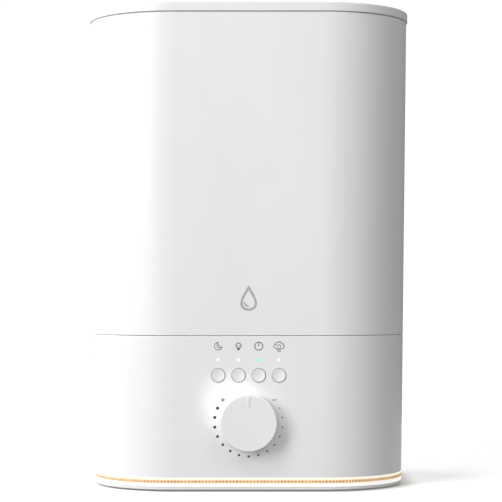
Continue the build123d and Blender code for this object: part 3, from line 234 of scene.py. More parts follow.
def grid_faces(rows, columns, wrap_rows=False):
    """Quads between neighbouring points of a grid whose columns close on themselves."""
    row = np.arange(rows if wrap_rows else rows - 1)[:, None]
    column = np.arange(columns)[None, :]
    after = (column + 1) % columns
    below = (row + 1) % rows
    first, second = row * columns, below * columns
    corners = [first + column, first + after, second + after, second + column]
    return np.stack(corners, axis=-1).reshape(-1, 4)


def turned(profile, segments):
    """A surface of revolution: each (radius, height) of the profile goes once round the axis.

    A point at radius r and turn t lies at (r cos t, r sin t, height). The first and last radii are zero.
    """
    profile = np.asarray(profile, float)
    turn = np.linspace(0, 2 * np.pi, segments, endpoint=False)
    x = profile[:, :1] * np.cos(turn)
    y = profile[:, :1] * np.sin(turn)
    z = np.broadcast_to(profile[:, 1:], x.shape)
    return np.stack([x, y, z], axis=-1).reshape(-1, 3), grid_faces(len(profile), segments)


def arc(centre, radius, start, end, count=20):
    """Points on a circle between two angles in degrees: centre plus radius times (cos, sin)."""
    turn = np.radians(np.linspace(start, end, count))
    return np.stack([centre[0] + radius * np.cos(turn), centre[1] + radius * np.sin(turn)], axis=1)


def stroke(path, width, height, closed=False):
    """A raised line: a low rounded section carried along a flat path.

    The section is a superellipse, half a width to each side and one height up and down. At an open end it
    shrinks to a point along a quarter circle, so the line's end is round. Returned as (x, z, height) points.
    """
    path = np.asarray(path, float)
    if closed:
        tangent = np.roll(path, -1, axis=0) - np.roll(path, 1, axis=0)
    else:
        tangent = np.gradient(path, axis=0)
    tangent /= np.linalg.norm(tangent, axis=1, keepdims=True)
    scale = np.ones(len(path))
    if not closed:
        bend = np.linspace(0, np.pi / 2, 5)[1:]
        reach = (np.sin(bend) * width / 2)[:, None]
        first = (path[0] - reach * tangent[0])[::-1]
        last = path[-1] + reach * tangent[-1]
        path = np.concatenate([first, path, last])
        tangent = np.concatenate([np.repeat(tangent[:1], 4, 0), tangent, np.repeat(tangent[-1:], 4, 0)])
        scale = np.concatenate([np.cos(bend)[::-1], scale, np.cos(bend)])
    turn = np.linspace(0, 2 * np.pi, 12, endpoint=False)
    side = np.sign(np.cos(turn)) * np.abs(np.cos(turn)) ** 0.6 * width / 2
    lift = np.sign(np.sin(turn)) * np.abs(np.sin(turn)) ** 0.6 * height
    across = scale[:, None] * side
    x = path[:, :1] - tangent[:, 1:] * across
    z = path[:, 1:] + tangent[:, :1] * across
    h = scale[:, None] * lift
    return np.stack([x, z, h], axis=-1).reshape(-1, 3), grid_faces(len(path), len(turn), closed)


def dot(centre, radius, height):
    """A round printed dot with a softened edge, as (x, z, height) points."""
    edge = np.linspace(0, np.pi / 2, 4)
    rim = np.stack([radius - 0.12 * radius * (1 - np.cos(edge)), height * np.sin(edge)], axis=1)
    points, faces = turned([(0, -height), (radius, -height), *rim, (0, height)], 28)
    return points + [centre[0], centre[1], 0], faces


def on_front(parts):
    """Moves (x, z, height) points onto the front wall: y is the wall's y less the height."""
    placed = []
    for points, faces in parts:
        x, z, h = points.T
        placed.append((np.stack([x, front_y(z) - h, z], axis=1), faces))
    return placed


def pad(centre, half_x, half_y, corner, low, high, crown):
    """A crowned pad: rings of a rounded rectangle that shrink to the middle, over and under.

    A ring at share s of the way in has its sides scaled by s. The top falls from its middle by the crown
    times s to the fourth, and the edge is a half circle between top and bottom.
    """
    turn = np.linspace(0, 2 * np.pi, 96, endpoint=False)
    cos, sin = np.cos(turn), np.sin(turn)
    x = np.sign(cos) * (half_x - corner) + corner * cos
    y = np.sign(sin) * (half_y - corner) + corner * sin
    edge = (high - low - crown) / 2
    swing = np.linspace(-np.pi / 2, np.pi / 2, 9)
    share_in = np.linspace(0.0, 1.0, 14)[:-1]
    inner = 1 - edge / min(half_x, half_y)
    share = np.concatenate([share_in * inner, inner + (1 - inner) * np.cos(swing), share_in[::-1] * inner])
    rise = np.concatenate([
        np.full(len(share_in), low),
        low + edge + edge * np.sin(swing),
        high - crown * share_in[::-1] ** 4,
    ])
    grid_x = centre[0] + share[:, None] * x
    grid_y = centre[1] + share[:, None] * y
    grid_z = np.broadcast_to(rise[:, None], grid_x.shape)
    return np.stack([grid_x, grid_y, grid_z], axis=-1).reshape(-1, 3), grid_faces(len(share), len(turn))


# ---------------------------------------------------------------- materials
class Finish:
    """One procedural material: a Principled surface that reads Object coordinates."""

    def __init__(self, name, colour, roughness, **sockets):
        self.material = bpy.data.materials.new(name)
        self.material.use_nodes = True
        self.tree = self.material.node_tree
        self.shader = self.tree.nodes["Principled BSDF"]
        self.place = self.tree.nodes.new("ShaderNodeTexCoord").outputs["Object"]
        self.height = None
        self.shader.inputs["Base Color"].default_value = (*colour, 1)
        self.shader.inputs["Roughness"].default_value = roughness
        for socket, value in sockets.items():
            self.shader.inputs[socket.replace("_", " ")].default_value = value

    def feed(self, socket, value):
        """Links an output to a socket, or sets a plain value on it."""
        if isinstance(value, bpy.types.NodeSocket):
            self.tree.links.new(value, socket)
        else:
            socket.default_value = value

    def stretched(self, stretch, turn=(0, 0, 0)):
        """Object coordinates scaled and turned, for a pattern with a direction."""
        node = self.tree.nodes.new("ShaderNodeMapping")
        node.inputs["Scale"].default_value = stretch
        node.inputs["Rotation"].default_value = turn
        self.tree.links.new(self.place, node.inputs["Vector"])
        return node.outputs["Vector"]

    def noise(self, scale, detail=3.0, roughness=0.5, vector=None):
        """Soft noise with that many lumps to the metre."""
        node = self.tree.nodes.new("ShaderNodeTexNoise")
        node.inputs["Scale"].default_value = scale
        node.inputs["Detail"].default_value = detail
        node.inputs["Roughness"].default_value = roughness
        self.tree.links.new(vector or self.place, node.inputs["Vector"])
        return node.outputs["Fac"]

    def cells(self, scale):
        """Distance to the nearest of scattered points."""
        node = self.tree.nodes.new("ShaderNodeTexVoronoi")
        node.inputs["Scale"].default_value = scale
        self.tree.links.new(self.place, node.inputs["Vector"])
        return node.outputs["Distance"]

    def axis(self, name):
        """One of the Object coordinates."""
        node = self.tree.nodes.new("ShaderNodeSeparateXYZ")
        self.tree.links.new(self.place, node.inputs[0])
        return node.outputs[name]

    def maths(self, operation, first, second=0.0, third=0.0):
        """A Math node."""
        node = self.tree.nodes.new("ShaderNodeMath")
        node.operation = operation
        for socket, value in zip(node.inputs, (first, second, third)):
            self.feed(socket, value)
        return node.outputs[0]

    def span(self, value, low, high, out_low=0.0, out_high=1.0, kind="SMOOTHSTEP"):
        """Maps a stretch of values to another, clamped."""
        node = self.tree.nodes.new("ShaderNodeMapRange")
        node.interpolation_type = kind
        for socket, number in zip(node.inputs[:5], (value, low, high, out_low, out_high)):
            self.feed(socket, number)
        return node.outputs["Result"]

    def ramp(self, value, stops):
        """A colour ramp through (place, colour) stops."""
        node = self.tree.nodes.new("ShaderNodeValToRGB")
        elements = node.color_ramp.elements
        while len(elements) < len(stops):
            elements.new(0.5)
        for element, (place, colour) in zip(elements, stops):
            element.position = place
            element.color = (*colour, 1)
        self.tree.links.new(value, node.inputs[0])
        return node.outputs["Color"]

    def mix(self, factor, first, second):
        """A colour between two, by a factor."""
        node = self.tree.nodes.new("ShaderNodeMix")
        node.data_type = "RGBA"
        self.feed(node.inputs["Factor"], factor)
        for socket, value in (("A", first), ("B", second)):
            target = [s for s in node.inputs if s.name == socket and s.type == "RGBA"][0]
            self.feed(target, (*value, 1) if isinstance(value, tuple) else value)
        return [s for s in node.outputs if s.type == "RGBA"][0]

    def colour(self, value):
        """Feeds the base colour."""
        self.feed(self.shader.inputs["Base Color"], value)

    def rough(self, value):
        """Feeds the roughness."""
        self.feed(self.shader.inputs["Roughness"], value)

    def bump(self, height, distance, strength=1.0):
        """Adds a layer of relief, its full height given in metres."""
        node = self.tree.nodes.new("ShaderNodeBump")
        node.inputs["Strength"].default_value = strength
        node.inputs["Distance"].default_value = distance
        self.tree.links.new(height, node.inputs["Height"])
        if self.height is not None:
            self.tree.links.new(self.height, node.inputs["Normal"])
        self.height = node.outputs["Normal"]
        self.tree.links.new(self.height, self.shader.inputs["Normal"])


def scaled(colour, factor):
    """A colour made lighter or darker."""
    return tuple(min(1.0, channel * factor) for channel in colour)


def moulded(name, colour, roughness, grain=0.012 * MM, peel=0.008 * MM, spread=0.03, **sockets):
    """Injection-moulded plastic: faint flow shading, a fine spark-eroded grain and a slow orange peel."""
    finish = Finish(name, colour, roughness, **sockets)
    flow = finish.noise(16, 4, vector=finish.stretched((1, 1, 0.35)))
    speck = finish.noise(2600, 2)
    shade = finish.maths("MULTIPLY_ADD", speck, 0.25, finish.maths("MULTIPLY", flow, 0.75))
    finish.colour(finish.mix(finish.span(shade, 0.3, 0.7), scaled(colour, 1 - spread), scaled(colour, 1.012)))
    finish.rough(finish.span(finish.noise(70, 4), 0.3, 0.7, roughness - 0.04, roughness + 0.05))
    finish.bump(finish.noise(340, 2), peel)
    finish.bump(finish.noise(2900, 3, 0.6), grain)
    return finish


def inner_moulded(name, colour, roughness):
    """Plain inside surface of a moulding: duller, with faint round ejector-pin witness marks."""
    finish = moulded(name, colour, roughness, grain=0.02 * MM)
    distance = finish.cells(24)
    ring = finish.maths("SUBTRACT", finish.span(distance, 0.055, 0.062), finish.span(distance, 0.068, 0.075))
    finish.bump(ring, 0.05 * MM)
    return finish


def printed(name, colour):
    """Pad-printed ink: nearly even, with fine pinholes and a slightly dull face."""
    finish = Finish(name, colour, 0.5)
    finish.colour(finish.mix(finish.span(finish.noise(5200, 2), 0.45, 0.7), colour, scaled(colour, 1.35)))
    finish.rough(finish.span(finish.noise(900, 3), 0.3, 0.7, 0.42, 0.6))
    finish.bump(finish.noise(6000, 2), 0.01 * MM)
    return finish


def brushed(name, colour, roughness, stretch, metallic=1.0):
    """Metal with fine lines along one direction and a few darker streaks."""
    finish = Finish(name, colour, roughness, Metallic=metallic)
    lines = finish.noise(900, 4, 0.7, finish.stretched(stretch))
    finish.colour(finish.mix(finish.span(lines, 0.3, 0.7), scaled(colour, 0.82), scaled(colour, 1.05)))
    finish.rough(finish.span(finish.noise(300, 3), 0.3, 0.7, roughness - 0.06, roughness + 0.1))
    finish.bump(lines, 0.015 * MM)
    return finish


def plated_steel():
    """Zinc-plated screws: bluish grey with turned rings and small dull patches."""
    finish = brushed("Plated steel", (0.62, 0.64, 0.67), 0.3, (1, 1, 0.2))
    patches = finish.span(finish.noise(420, 3), 0.5, 0.62)
    finish.rough(finish.span(patches, 0, 1, 0.24, 0.5))
    finish.bump(finish.noise(2600, 2), 0.01 * MM)
    return finish


def rubber(name, colour, roughness=0.75):
    """Matt rubber with a fine dusty grain."""
    finish = Finish(name, colour, roughness)
    dust = finish.noise(1500, 5, 0.7)
    finish.colour(finish.mix(finish.span(dust, 0.4, 0.75), colour, scaled(colour, 1.6)))
    finish.rough(finish.span(dust, 0.3, 0.7, roughness - 0.1, roughness + 0.12))
    finish.bump(dust, 0.03 * MM)
    return finish


def silicone():
    """Milky silicone rubber: soft, slightly translucent, with a faint bloom."""
    finish = Finish("Silicone", (0.78, 0.79, 0.78), 0.38, Subsurface_Weight=0.25, Subsurface_Scale=0.002)
    bloom = finish.noise(220, 4)
    finish.colour(finish.mix(bloom, (0.70, 0.72, 0.71), (0.84, 0.85, 0.84)))
    finish.rough(finish.span(bloom, 0.3, 0.7, 0.3, 0.5))
    finish.bump(finish.noise(1800, 2), 0.01 * MM)
    return finish


def circuit_board():
    """Green solder mask over copper tracks, with tinned pads where the scattered points are."""
    finish = Finish("Circuit board", (0.01, 0.12, 0.05), 0.35, Coat_Weight=0.3)
    wires = finish.noise(55, 1, vector=finish.stretched((1, 3, 1)))
    track = finish.maths("FRACT", finish.maths("MULTIPLY", wires, 26))
    copper = finish.span(track, 0.42, 0.5)
    mask = finish.mix(copper, (0.006, 0.085, 0.035), (0.02, 0.19, 0.075))
    pads = finish.span(finish.cells(230), 0.19, 0.16)
    finish.colour(finish.mix(pads, mask, (0.68, 0.67, 0.62)))
    finish.rough(finish.span(pads, 0, 1, 0.35, 0.22))
    finish.bump(copper, 0.035 * MM)
    finish.bump(pads, 0.05 * MM)
    return finish


def foam(name, colour, cell_scale):
    """Open-cell foam: rounded pores between thin struts, with painted shade darkening the middle of each
    pore.
    """
    finish = Finish(name, colour, 0.9, Sheen_Weight=0.15)
    pore_relief_and_shade = finish.cells(cell_scale)
    # painted shade: the colour darkens towards each pore's middle, where the hole would be in shade
    painted_pore_shade = [(0.0, scaled(colour, 0.25)), (0.35, scaled(colour, 0.7)), (0.7, colour)]
    finish.colour(finish.ramp(pore_relief_and_shade, painted_pore_shade))
    finish.bump(pore_relief_and_shade, 0.5 * MM)
    finish.bump(finish.noise(cell_scale * 4, 2), 0.05 * MM)
    return finish


def dress(finish, *names):
    """Gives CAD nodes a finish."""
    for name in names:
        mesh = nodes[name].data
        mesh.materials.clear()
        mesh.materials.append(finish.material)


def settings():
    """The user's settings, on the scene."""
    return bpy.context.scene.humidifier


# ---------------------------------------------------------------- operators
class HUMIDIFIER_OT_casing(Operator):
    """Dress the tank, lid, housing, plinth and nozzle in white moulded plastic"""

    bl_idname = "humidifier.casing"
    bl_label = "Casing"

    def execute(self, context):
        white = tuple(settings().colours.shell)
        dress(moulded("Casing white", white, 0.36), "tank_shell", "base_housing")
        dress(moulded("Lid white", white, 0.34), "lid_cover", "mist_nozzle")
        dress(moulded("Plinth white", scaled(white, 0.97), 0.42), "base_plate")
        return {"FINISHED"}


class HUMIDIFIER_OT_controls(Operator):
    """Dress the dial, buttons and indicator lenses, one of which is lit"""

    bl_idname = "humidifier.controls"
    bl_label = "Dial, buttons and lenses"

    def execute(self, context):
        colours = settings().colours
        satin = moulded("Control white", tuple(colours.control), 0.4, grain=0.018 * MM)
        dress(satin, "dial_knob", "sleep_button", "light_button", "timer_button", "mist_button")
        dress(lenses(tuple(colours.lit)), "indicator_lenses")
        return {"FINISHED"}


def lenses(lit):
    """Milky light pipes. The one in line with the timer button glows, brightest at its middle; the others
    carry a faint grey painted glow.
    """
    finish = Finish("Indicator lenses", (0.9, 0.91, 0.91), 0.16, Emission_Strength=1.0, Coat_Weight=0.3)
    centre = middle("timer_button").x
    height = middle("indicator_lenses").z
    across = finish.maths("SUBTRACT", finish.axis("X"), centre)
    up = finish.maths("SUBTRACT", finish.axis("Z"), height)
    square = finish.maths("MULTIPLY_ADD", across, across, finish.maths("MULTIPLY", up, up))
    away = finish.maths("SQRT", square)
    glow = finish.span(away, 0.35 * MM, 1.7 * MM, 1.0, 0.0)
    # painted glow: the lenses that are off still give a faint grey light of their own, so they look whiter
    finish.feed(finish.shader.inputs["Emission Color"], finish.mix(glow, (0.3, 0.3, 0.3), lit))
    finish.colour(finish.mix(glow, (0.92, 0.92, 0.92), scaled(lit, 0.3)))
    finish.bump(finish.noise(1500, 2), 0.01 * MM)
    return finish


class HUMIDIFIER_OT_dial_scale(Operator):
    """Print the ring of growing dots round the dial, with a minus and a plus at its ends"""

    bl_idname = "humidifier.dial_scale"
    bl_label = "Dial scale"

    def execute(self, context):
        sizes = settings().prints
        centre = middle("dial_knob")
        turns = np.linspace(sizes.scale_gap, 2 * np.pi - sizes.scale_gap, sizes.dot_count + 2)
        xs = centre.x + sizes.scale_radius * np.sin(turns)
        zs = centre.z + sizes.scale_radius * np.cos(turns)
        radii = np.linspace(sizes.dot_small, sizes.dot_large, sizes.dot_count)
        parts = [
            dot((x, z), radius, sizes.ink_height)
            for x, z, radius in zip(xs[1:-1], zs[1:-1], radii)
        ]
        half = sizes.sign_length / 2
        for x, z, upright in ((xs[0], zs[0], False), (xs[-1], zs[-1], True)):
            bar = np.stack([np.linspace(x - half, x + half, 6), np.full(6, z)], axis=1)
            parts.append(stroke(bar, sizes.sign_stroke, sizes.ink_height))
            if upright:
                post = np.stack([np.full(6, x), np.linspace(z - half, z + half, 6)], axis=1)
                parts.append(stroke(post, sizes.sign_stroke, sizes.ink_height))
        build("dial_scale", on_front(parts), scale_ink().material, "base")
        return {"FINISHED"}


def scale_ink():
    """The scale's ink, grey at the minus and nearly black at the plus."""
    colour = tuple(settings().colours.ink)
    finish = printed("Scale ink", colour)
    reach = settings().prints.scale_radius
    share = finish.span(finish.axis("X"), -reach, reach, kind="LINEAR")
    shade = finish.ramp(share, [(0.0, scaled(colour, 0.12)), (0.55, colour), (1.0, scaled(colour, 3.0))])
    pinholes = finish.span(finish.noise(5200, 2), 0.6, 0.8, 0.0, 0.2)
    finish.colour(finish.mix(pinholes, shade, (0.6, 0.6, 0.6)))
    return finish


def moon(size, width, height):
    """A crescent: the outer arc and the inner arc of a nearer circle, which meet at two tips."""
    outer = arc((0, 0), size, 48, 312, 36)
    inner_centre = (0.50 * size, 0)
    tip = outer[0]
    reach = math.hypot(tip[0] - inner_centre[0], tip[1])
    start = math.degrees(math.atan2(tip[1], tip[0] - inner_centre[0]))
    inner = arc(inner_centre, reach, start, 360 - start, 28)
    inside = arc((0.52 * size, 0), 0.34 * size, 110, 250, 12)
    turn = np.radians(38)
    spin = np.array([[np.cos(turn), -np.sin(turn)], [np.sin(turn), np.cos(turn)]])
    return [stroke(path @ spin.T, width * 0.75, height) for path in (outer, inner, inside)]


def bulb(size, width, height):
    """A lamp: a round globe over a short thick cap, with a filament and seven short rays."""
    globe = arc((0, 0.08 * size), 0.56 * size, -62, 242, 32)
    neck_z = globe[0][1]
    cap_x = 0.24 * size
    fill = np.linspace(-1, 1, 6)
    paths = [
        (globe, 0.8),
        (np.stack([cap_x * fill, np.full(6, neck_z - 0.10 * size)], axis=1), 1.0),
        (np.stack([cap_x * fill, np.full(6, neck_z - 0.30 * size)], axis=1), 1.0),
        (np.stack([0.14 * size * fill, np.full(6, neck_z - 0.50 * size)], axis=1), 0.9),
        (arc((0, -0.12 * size), 0.18 * size, 10, 170, 10), 0.6),
    ]
    for degrees in range(-15, 196, 35):
        way = np.array([math.cos(math.radians(degrees)), math.sin(math.radians(degrees))])
        lengths = np.linspace(0.80, 0.90, 4)[:, None] * size
        paths.append(((0, 0.08 * size) + lengths * way, 0.6))
    return [stroke(path, width * share, height) for path, share in paths]


def clock(size, width, height):
    """A ring with a short hand from its middle to its top."""
    ring = arc((0, 0), size, 0, 360, 49)[:-1]
    hand = np.stack([np.zeros(6), np.linspace(0.08 * size, 0.72 * size, 6)], axis=1)
    return [stroke(ring, width, height, closed=True), stroke(hand, width, height)]


def cloud(size, width, height):
    """A round cloud of five arcs, a ring of mist inside it and two short lines below."""
    paths = [
        arc((-0.66 * size, -0.08 * size), 0.36 * size, 70, 272, 18),
        arc((-0.36 * size, 0.36 * size), 0.36 * size, 40, 200, 14),
        arc((0.08 * size, 0.50 * size), 0.38 * size, 10, 150, 14),
        arc((0.50 * size, 0.26 * size), 0.34 * size, -20, 118, 14),
        arc((0.68 * size, -0.10 * size), 0.34 * size, -92, 80, 16),
        arc((0, -0.02 * size), 0.30 * size, -30, 210, 18),
    ]
    for level, reach in ((-0.44, 0.66), (-0.72, 0.42), (-0.98, 0.30)):
        line = np.linspace(-reach * size, reach * size, 12)
        paths.append(np.stack([line, np.full(12, level * size)], axis=1))
    return [stroke(path, width * 0.75, height) for path in paths]


class HUMIDIFIER_OT_symbols(Operator):
    """Print the night, light, timer and mist symbols over the indicator lenses"""

    bl_idname = "humidifier.symbols"
    bl_label = "Symbols"

    def execute(self, context):
        sizes = settings().prints
        ink = printed("Symbol ink", tuple(settings().colours.ink)).material
        level = middle("indicator_lenses").z + sizes.icon_height
        plans = (
            ("sleep", moon, 2.4 * MM), ("light", bulb, 2.65 * MM),
            ("timer", clock, 2.55 * MM), ("mist", cloud, 3.3 * MM),
        )
        for name, draw, size in plans:
            x = middle(f"{name}_button").x
            parts = [
                (points + [x, level, 0], faces)
                for points, faces in draw(size, sizes.icon_stroke, sizes.ink_height)
            ]
            build(f"{name}_symbol", on_front(parts), ink, "base")
        return {"FINISHED"}


class HUMIDIFIER_OT_drop_mark(Operator):
    """Print a plain water drop on the tank"""

    bl_idname = "humidifier.drop_mark"
    bl_label = "Drop mark"

    def execute(self, context):
        sizes = settings().prints
        size = sizes.drop_size
        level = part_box("base_housing")[1].z + sizes.drop_height
        turn = np.linspace(0, 2 * np.pi, 73)[:-1]
        outline = np.stack(
            [size * np.sin(turn) * np.sin(turn / 2) ** 1.6 * 0.92, level + size * np.cos(turn)], axis=1)
        gleam = arc((0, level - 0.30 * size), 0.40 * size, 195, 262, 12)
        parts = [
            stroke(outline, 1.5 * MM, sizes.ink_height, closed=True),
            stroke(gleam, 1.1 * MM, sizes.ink_height),
        ]
        ink = printed("Drop ink", tuple(settings().colours.drop)).material
        build("drop_mark", on_front(parts), ink, "tank")
        return {"FINISHED"}


def band_path(pitch, z):
    """Points at an even pitch round the body at height z, each with its outward direction.

    The path is four flats and four quarter circles. A distance along it falls on one of the eight stretches,
    and is a share of that flat or a turn of that corner.
    """
    grow = (z - BAND_HIGH.z) * -FRONT_SLOPE
    radius = CORNER_RADIUS + grow
    flat_x, flat_y, bend = 2 * CORNER_X, -2 * CORNER_Y, radius * np.pi / 2
    lengths = np.array([flat_x, bend, flat_y, bend] * 2)
    starts = np.concatenate([[0], np.cumsum(lengths)])
    count = round(starts[-1] / pitch)
    along = (np.arange(count) + 0.5) * starts[-1] / count
    stretch = np.searchsorted(starts, along, side="right") - 1
    share = (along - starts[stretch]) / lengths[stretch]
    side = stretch // 2
    is_bend = stretch % 2 == 1
    way = np.radians(-90 + 90 * side + np.where(is_bend, 90 * share, 0))
    x, y = CORNER_X, CORNER_Y
    corners = np.array([[x, y], [x, -y], [-x, -y], [-x, y]])
    centre = corners[side]
    before = corners[side - 1]
    base = np.where(is_bend[:, None], centre, before + (centre - before) * share[:, None])
    outward = np.stack([np.cos(way), np.sin(way)], axis=1)
    return base + outward * radius, outward


class HUMIDIFIER_OT_light_band(Operator):
    """Light the band round the foot, and set its row of beads"""

    bl_idname = "humidifier.light_band"
    bl_label = "Light band"

    def execute(self, context):
        colours = settings().colours
        sizes = settings().band
        glow = tuple(colours.glow)
        dress(band_finish(glow), "light_band")
        dress(strip_finish(), "light_strip")
        dress(led_finish(glow), "strip_leds")
        level = BAND_HIGH.z - sizes.bead_drop
        where, outward = band_path(sizes.bead_pitch, level)
        swing = np.linspace(0, np.pi, 5)
        shape, faces = turned(np.stack([np.sin(swing), np.cos(swing)], axis=1), 8)
        sideways = np.stack([-outward[:, 1], outward[:, 0]], axis=1)
        half_length = sizes.bead_pitch * BEAD_FILL / 2
        centres = np.concatenate([where, np.full((len(where), 1), level)], axis=1)
        flat = shape[None, :, :1] * half_length * sideways[:, None, :]
        flat = flat + shape[None, :, 2:] * sizes.bead_depth * outward[:, None, :]
        rise = np.broadcast_to(shape[None, :, 1:2] * sizes.bead_height / 2, (len(where), len(shape), 1))
        points = centres[:, None, :] + np.concatenate([flat, rise], axis=2)
        offsets = np.arange(len(where))[:, None, None] * len(shape)
        beads = [(points.reshape(-1, 3), (faces[None] + offsets).reshape(-1, 4))]
        build("band_beads", beads, bead_finish().material, "base")
        return {"FINISHED"}


def band_finish(glow):
    """Frosted light band: it glows cream at the top and white below, with faint warm drifts along it."""
    finish = Finish("Frosted band", (0.3, 0.28, 0.25), 0.45, Emission_Strength=0.78)
    share = finish.span(finish.axis("Z"), BAND_LOW.z, BAND_HIGH.z, kind="LINEAR")
    white = (1.0, 1.0, 0.99)
    tones = finish.ramp(share, [
        (0.0, white), (0.28, white), (0.40, (1.0, 0.82, 0.58)), (0.66, (1.0, 0.74, 0.46)),
        (0.80, glow), (1.0, (1.0, 1.0, 0.90)),
    ])
    drift = finish.span(finish.noise(30, 3, vector=finish.stretched((1, 1, 0.2))), 0.35, 0.7, 0.0, 0.5)
    lit = finish.mix(drift, tones, finish.mix(0.5, tones, glow))
    finish.feed(finish.shader.inputs["Emission Color"], lit)
    finish.colour(finish.mix(0.7, lit, (0.0, 0.0, 0.0)))
    finish.rough(finish.span(finish.noise(600, 3), 0.3, 0.7, 0.38, 0.55))
    finish.bump(finish.noise(2200, 2), 0.02 * MM)
    return finish


def bead_finish():
    """Amber beads that glow, with a faint uneven tone."""
    colour = tuple(settings().colours.bead)
    finish = Finish("Amber beads", colour, 0.3, Emission_Strength=0.5, Coat_Weight=0.3)
    tone = finish.span(finish.noise(120, 3), 0.35, 0.65)
    warm = finish.mix(tone, scaled(colour, 0.85), scaled(colour, 1.15))
    finish.colour(warm)
    finish.feed(finish.shader.inputs["Emission Color"], warm)
    finish.bump(finish.noise(3000, 2), 0.01 * MM)
    return finish


def strip_finish():
    """Flexible LED strip: white solder mask with thin copper feed lines."""
    finish = Finish("LED strip", (0.85, 0.85, 0.82), 0.4)
    lines = finish.maths("FRACT", finish.maths("MULTIPLY", finish.axis("Z"), 700))
    feed = finish.span(lines, 0.8, 0.86)
    finish.colour(finish.mix(feed, (0.86, 0.86, 0.83), (0.66, 0.5, 0.3)))
    finish.bump(finish.noise(1500, 2), 0.02 * MM)
    return finish


def led_finish(glow):
    """White LED chips with a warm phosphor window."""
    finish = Finish("LED chips", (0.88, 0.88, 0.85), 0.35, Emission_Strength=2.0)
    z = (BAND_LOW.z + BAND_HIGH.z) / 2
    away = finish.maths("ABSOLUTE", finish.maths("SUBTRACT", finish.axis("Z"), z))
    window = finish.span(away, 0.75 * MM, 0.95 * MM, 1.0, 0.0)
    finish.colour(finish.mix(window, (0.88, 0.88, 0.85), (0.9, 0.65, 0.12)))
    finish.feed(finish.shader.inputs["Emission Color"], finish.mix(window, (0, 0, 0), glow))
    finish.bump(finish.noise(2000, 2), 0.02 * MM)
    return finish


class HUMIDIFIER_OT_water_side(Operator):
    """Dress the basin, float, transducer, mist tube, tank valve, liner and gaskets"""

    bl_idname = "humidifier.water_side"
    bl_label = "Water side"

    def execute(self, context):
        inner = inner_moulded("Inner white", (0.80, 0.81, 0.81), 0.5)
        dress(inner, "water_basin", "lid_liner", "valve_cage", "float_keeper")
        dress(moulded("Mist tube white", (0.80, 0.82, 0.83), 0.3), "mist_tube", "valve_cap", "float_ring")
        dress(moulded("Plunger white", (0.74, 0.76, 0.78), 0.34), "valve_plunger")
        dress(silicone(), "neck_gasket", "tube_gasket", "lid_gasket", "valve_seal", "transducer_seal")
        dress(ceramic_disc(), "transducer_disc")
        dress(brushed("Spring steel", (0.66, 0.66, 0.67), 0.22, (1, 1, 4)), "valve_spring")
        dress(magnet_finish(), "float_magnet")
        dress(moulded("Reed case", (0.03, 0.03, 0.032), 0.5), "float_switch")
        return {"FINISHED"}


def ceramic_disc():
    """The vibrating disc: pale ceramic under a silvered electrode with a bare rim."""
    finish = Finish("Ceramic disc", (0.82, 0.79, 0.70), 0.35)
    x, y = finish.axis("X"), finish.axis("Y")
    away = finish.maths("SQRT", finish.maths("MULTIPLY_ADD", x, x, finish.maths("MULTIPLY", y, y)))
    silver = finish.span(away, 8.6 * MM, 8.8 * MM, 1.0, 0.0)
    cloudy = finish.mix(finish.noise(400, 4), (0.62, 0.62, 0.60), (0.78, 0.78, 0.76))
    finish.colour(finish.mix(silver, (0.84, 0.80, 0.70), cloudy))
    finish.feed(finish.shader.inputs["Metallic"], finish.maths("MULTIPLY", silver, 0.85))
    finish.bump(finish.noise(2400, 3), 0.01 * MM)
    return finish


def magnet_finish():
    """Ferrite ring: dark grey, grainy, with worn lighter spots."""
    finish = Finish("Ferrite", (0.06, 0.06, 0.065), 0.55, Metallic=0.4)
    grain = finish.noise(1800, 5, 0.7)
    finish.colour(finish.mix(finish.span(grain, 0.5, 0.75), (0.05, 0.05, 0.055), (0.2, 0.2, 0.21)))
    finish.bump(grain, 0.04 * MM)
    return finish


class HUMIDIFIER_OT_air_side(Operator):
    """Dress the fan and duct, and make the intake's foam filter"""

    bl_idname = "humidifier.air_side"
    bl_label = "Air side"

    def execute(self, context):
        dress(moulded("Duct grey", (0.45, 0.46, 0.47), 0.5), "air_duct")
        dress(moulded("Fan black", (0.025, 0.025, 0.027), 0.45, grain=0.03 * MM), "fan_frame", "fan_rotor")
        dress(brushed("Bearing bronze", (0.55, 0.38, 0.2), 0.35, (1, 1, 3)), "fan_bearing")
        dress(windings(), "fan_stator")
        dress(brushed("Shaft steel", (0.6, 0.6, 0.62), 0.18, (4, 1, 4)), "fan_shaft", "dial_shaft")
        low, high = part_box("intake_filter")
        centre = (low + high) / 2
        half = (high.x - low.x) / 2 - 0.1 * MM
        made = pad((centre.x, centre.y), half, half, half, low.z + 0.02 * MM, high.z - 0.02 * MM, 0.3 * MM)
        grey = foam("Filter foam", (0.16, 0.165, 0.17), 950)
        piece = build("filter_foam", [made], grey.material, "base")
        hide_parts("intake_filter")
        return {"FINISHED"}


def windings():
    """The fan's stator: enamelled copper turns, stacked in fine bands, with painted shade in the grooves
    between turns.
    """
    finish = Finish("Windings", (0.62, 0.25, 0.1), 0.3, Metallic=0.9)
    bands = finish.maths("FRACT", finish.maths("MULTIPLY", finish.axis("Z"), 3200))
    turn = finish.span(bands, 0.15, 0.5)
    # painted shade: the colour is dark at the start of each band, where the bump puts the groove between
    # turns
    finish.colour(finish.mix(turn, (0.30, 0.10, 0.04), (0.72, 0.32, 0.14)))
    finish.bump(turn, 0.08 * MM)
    return finish


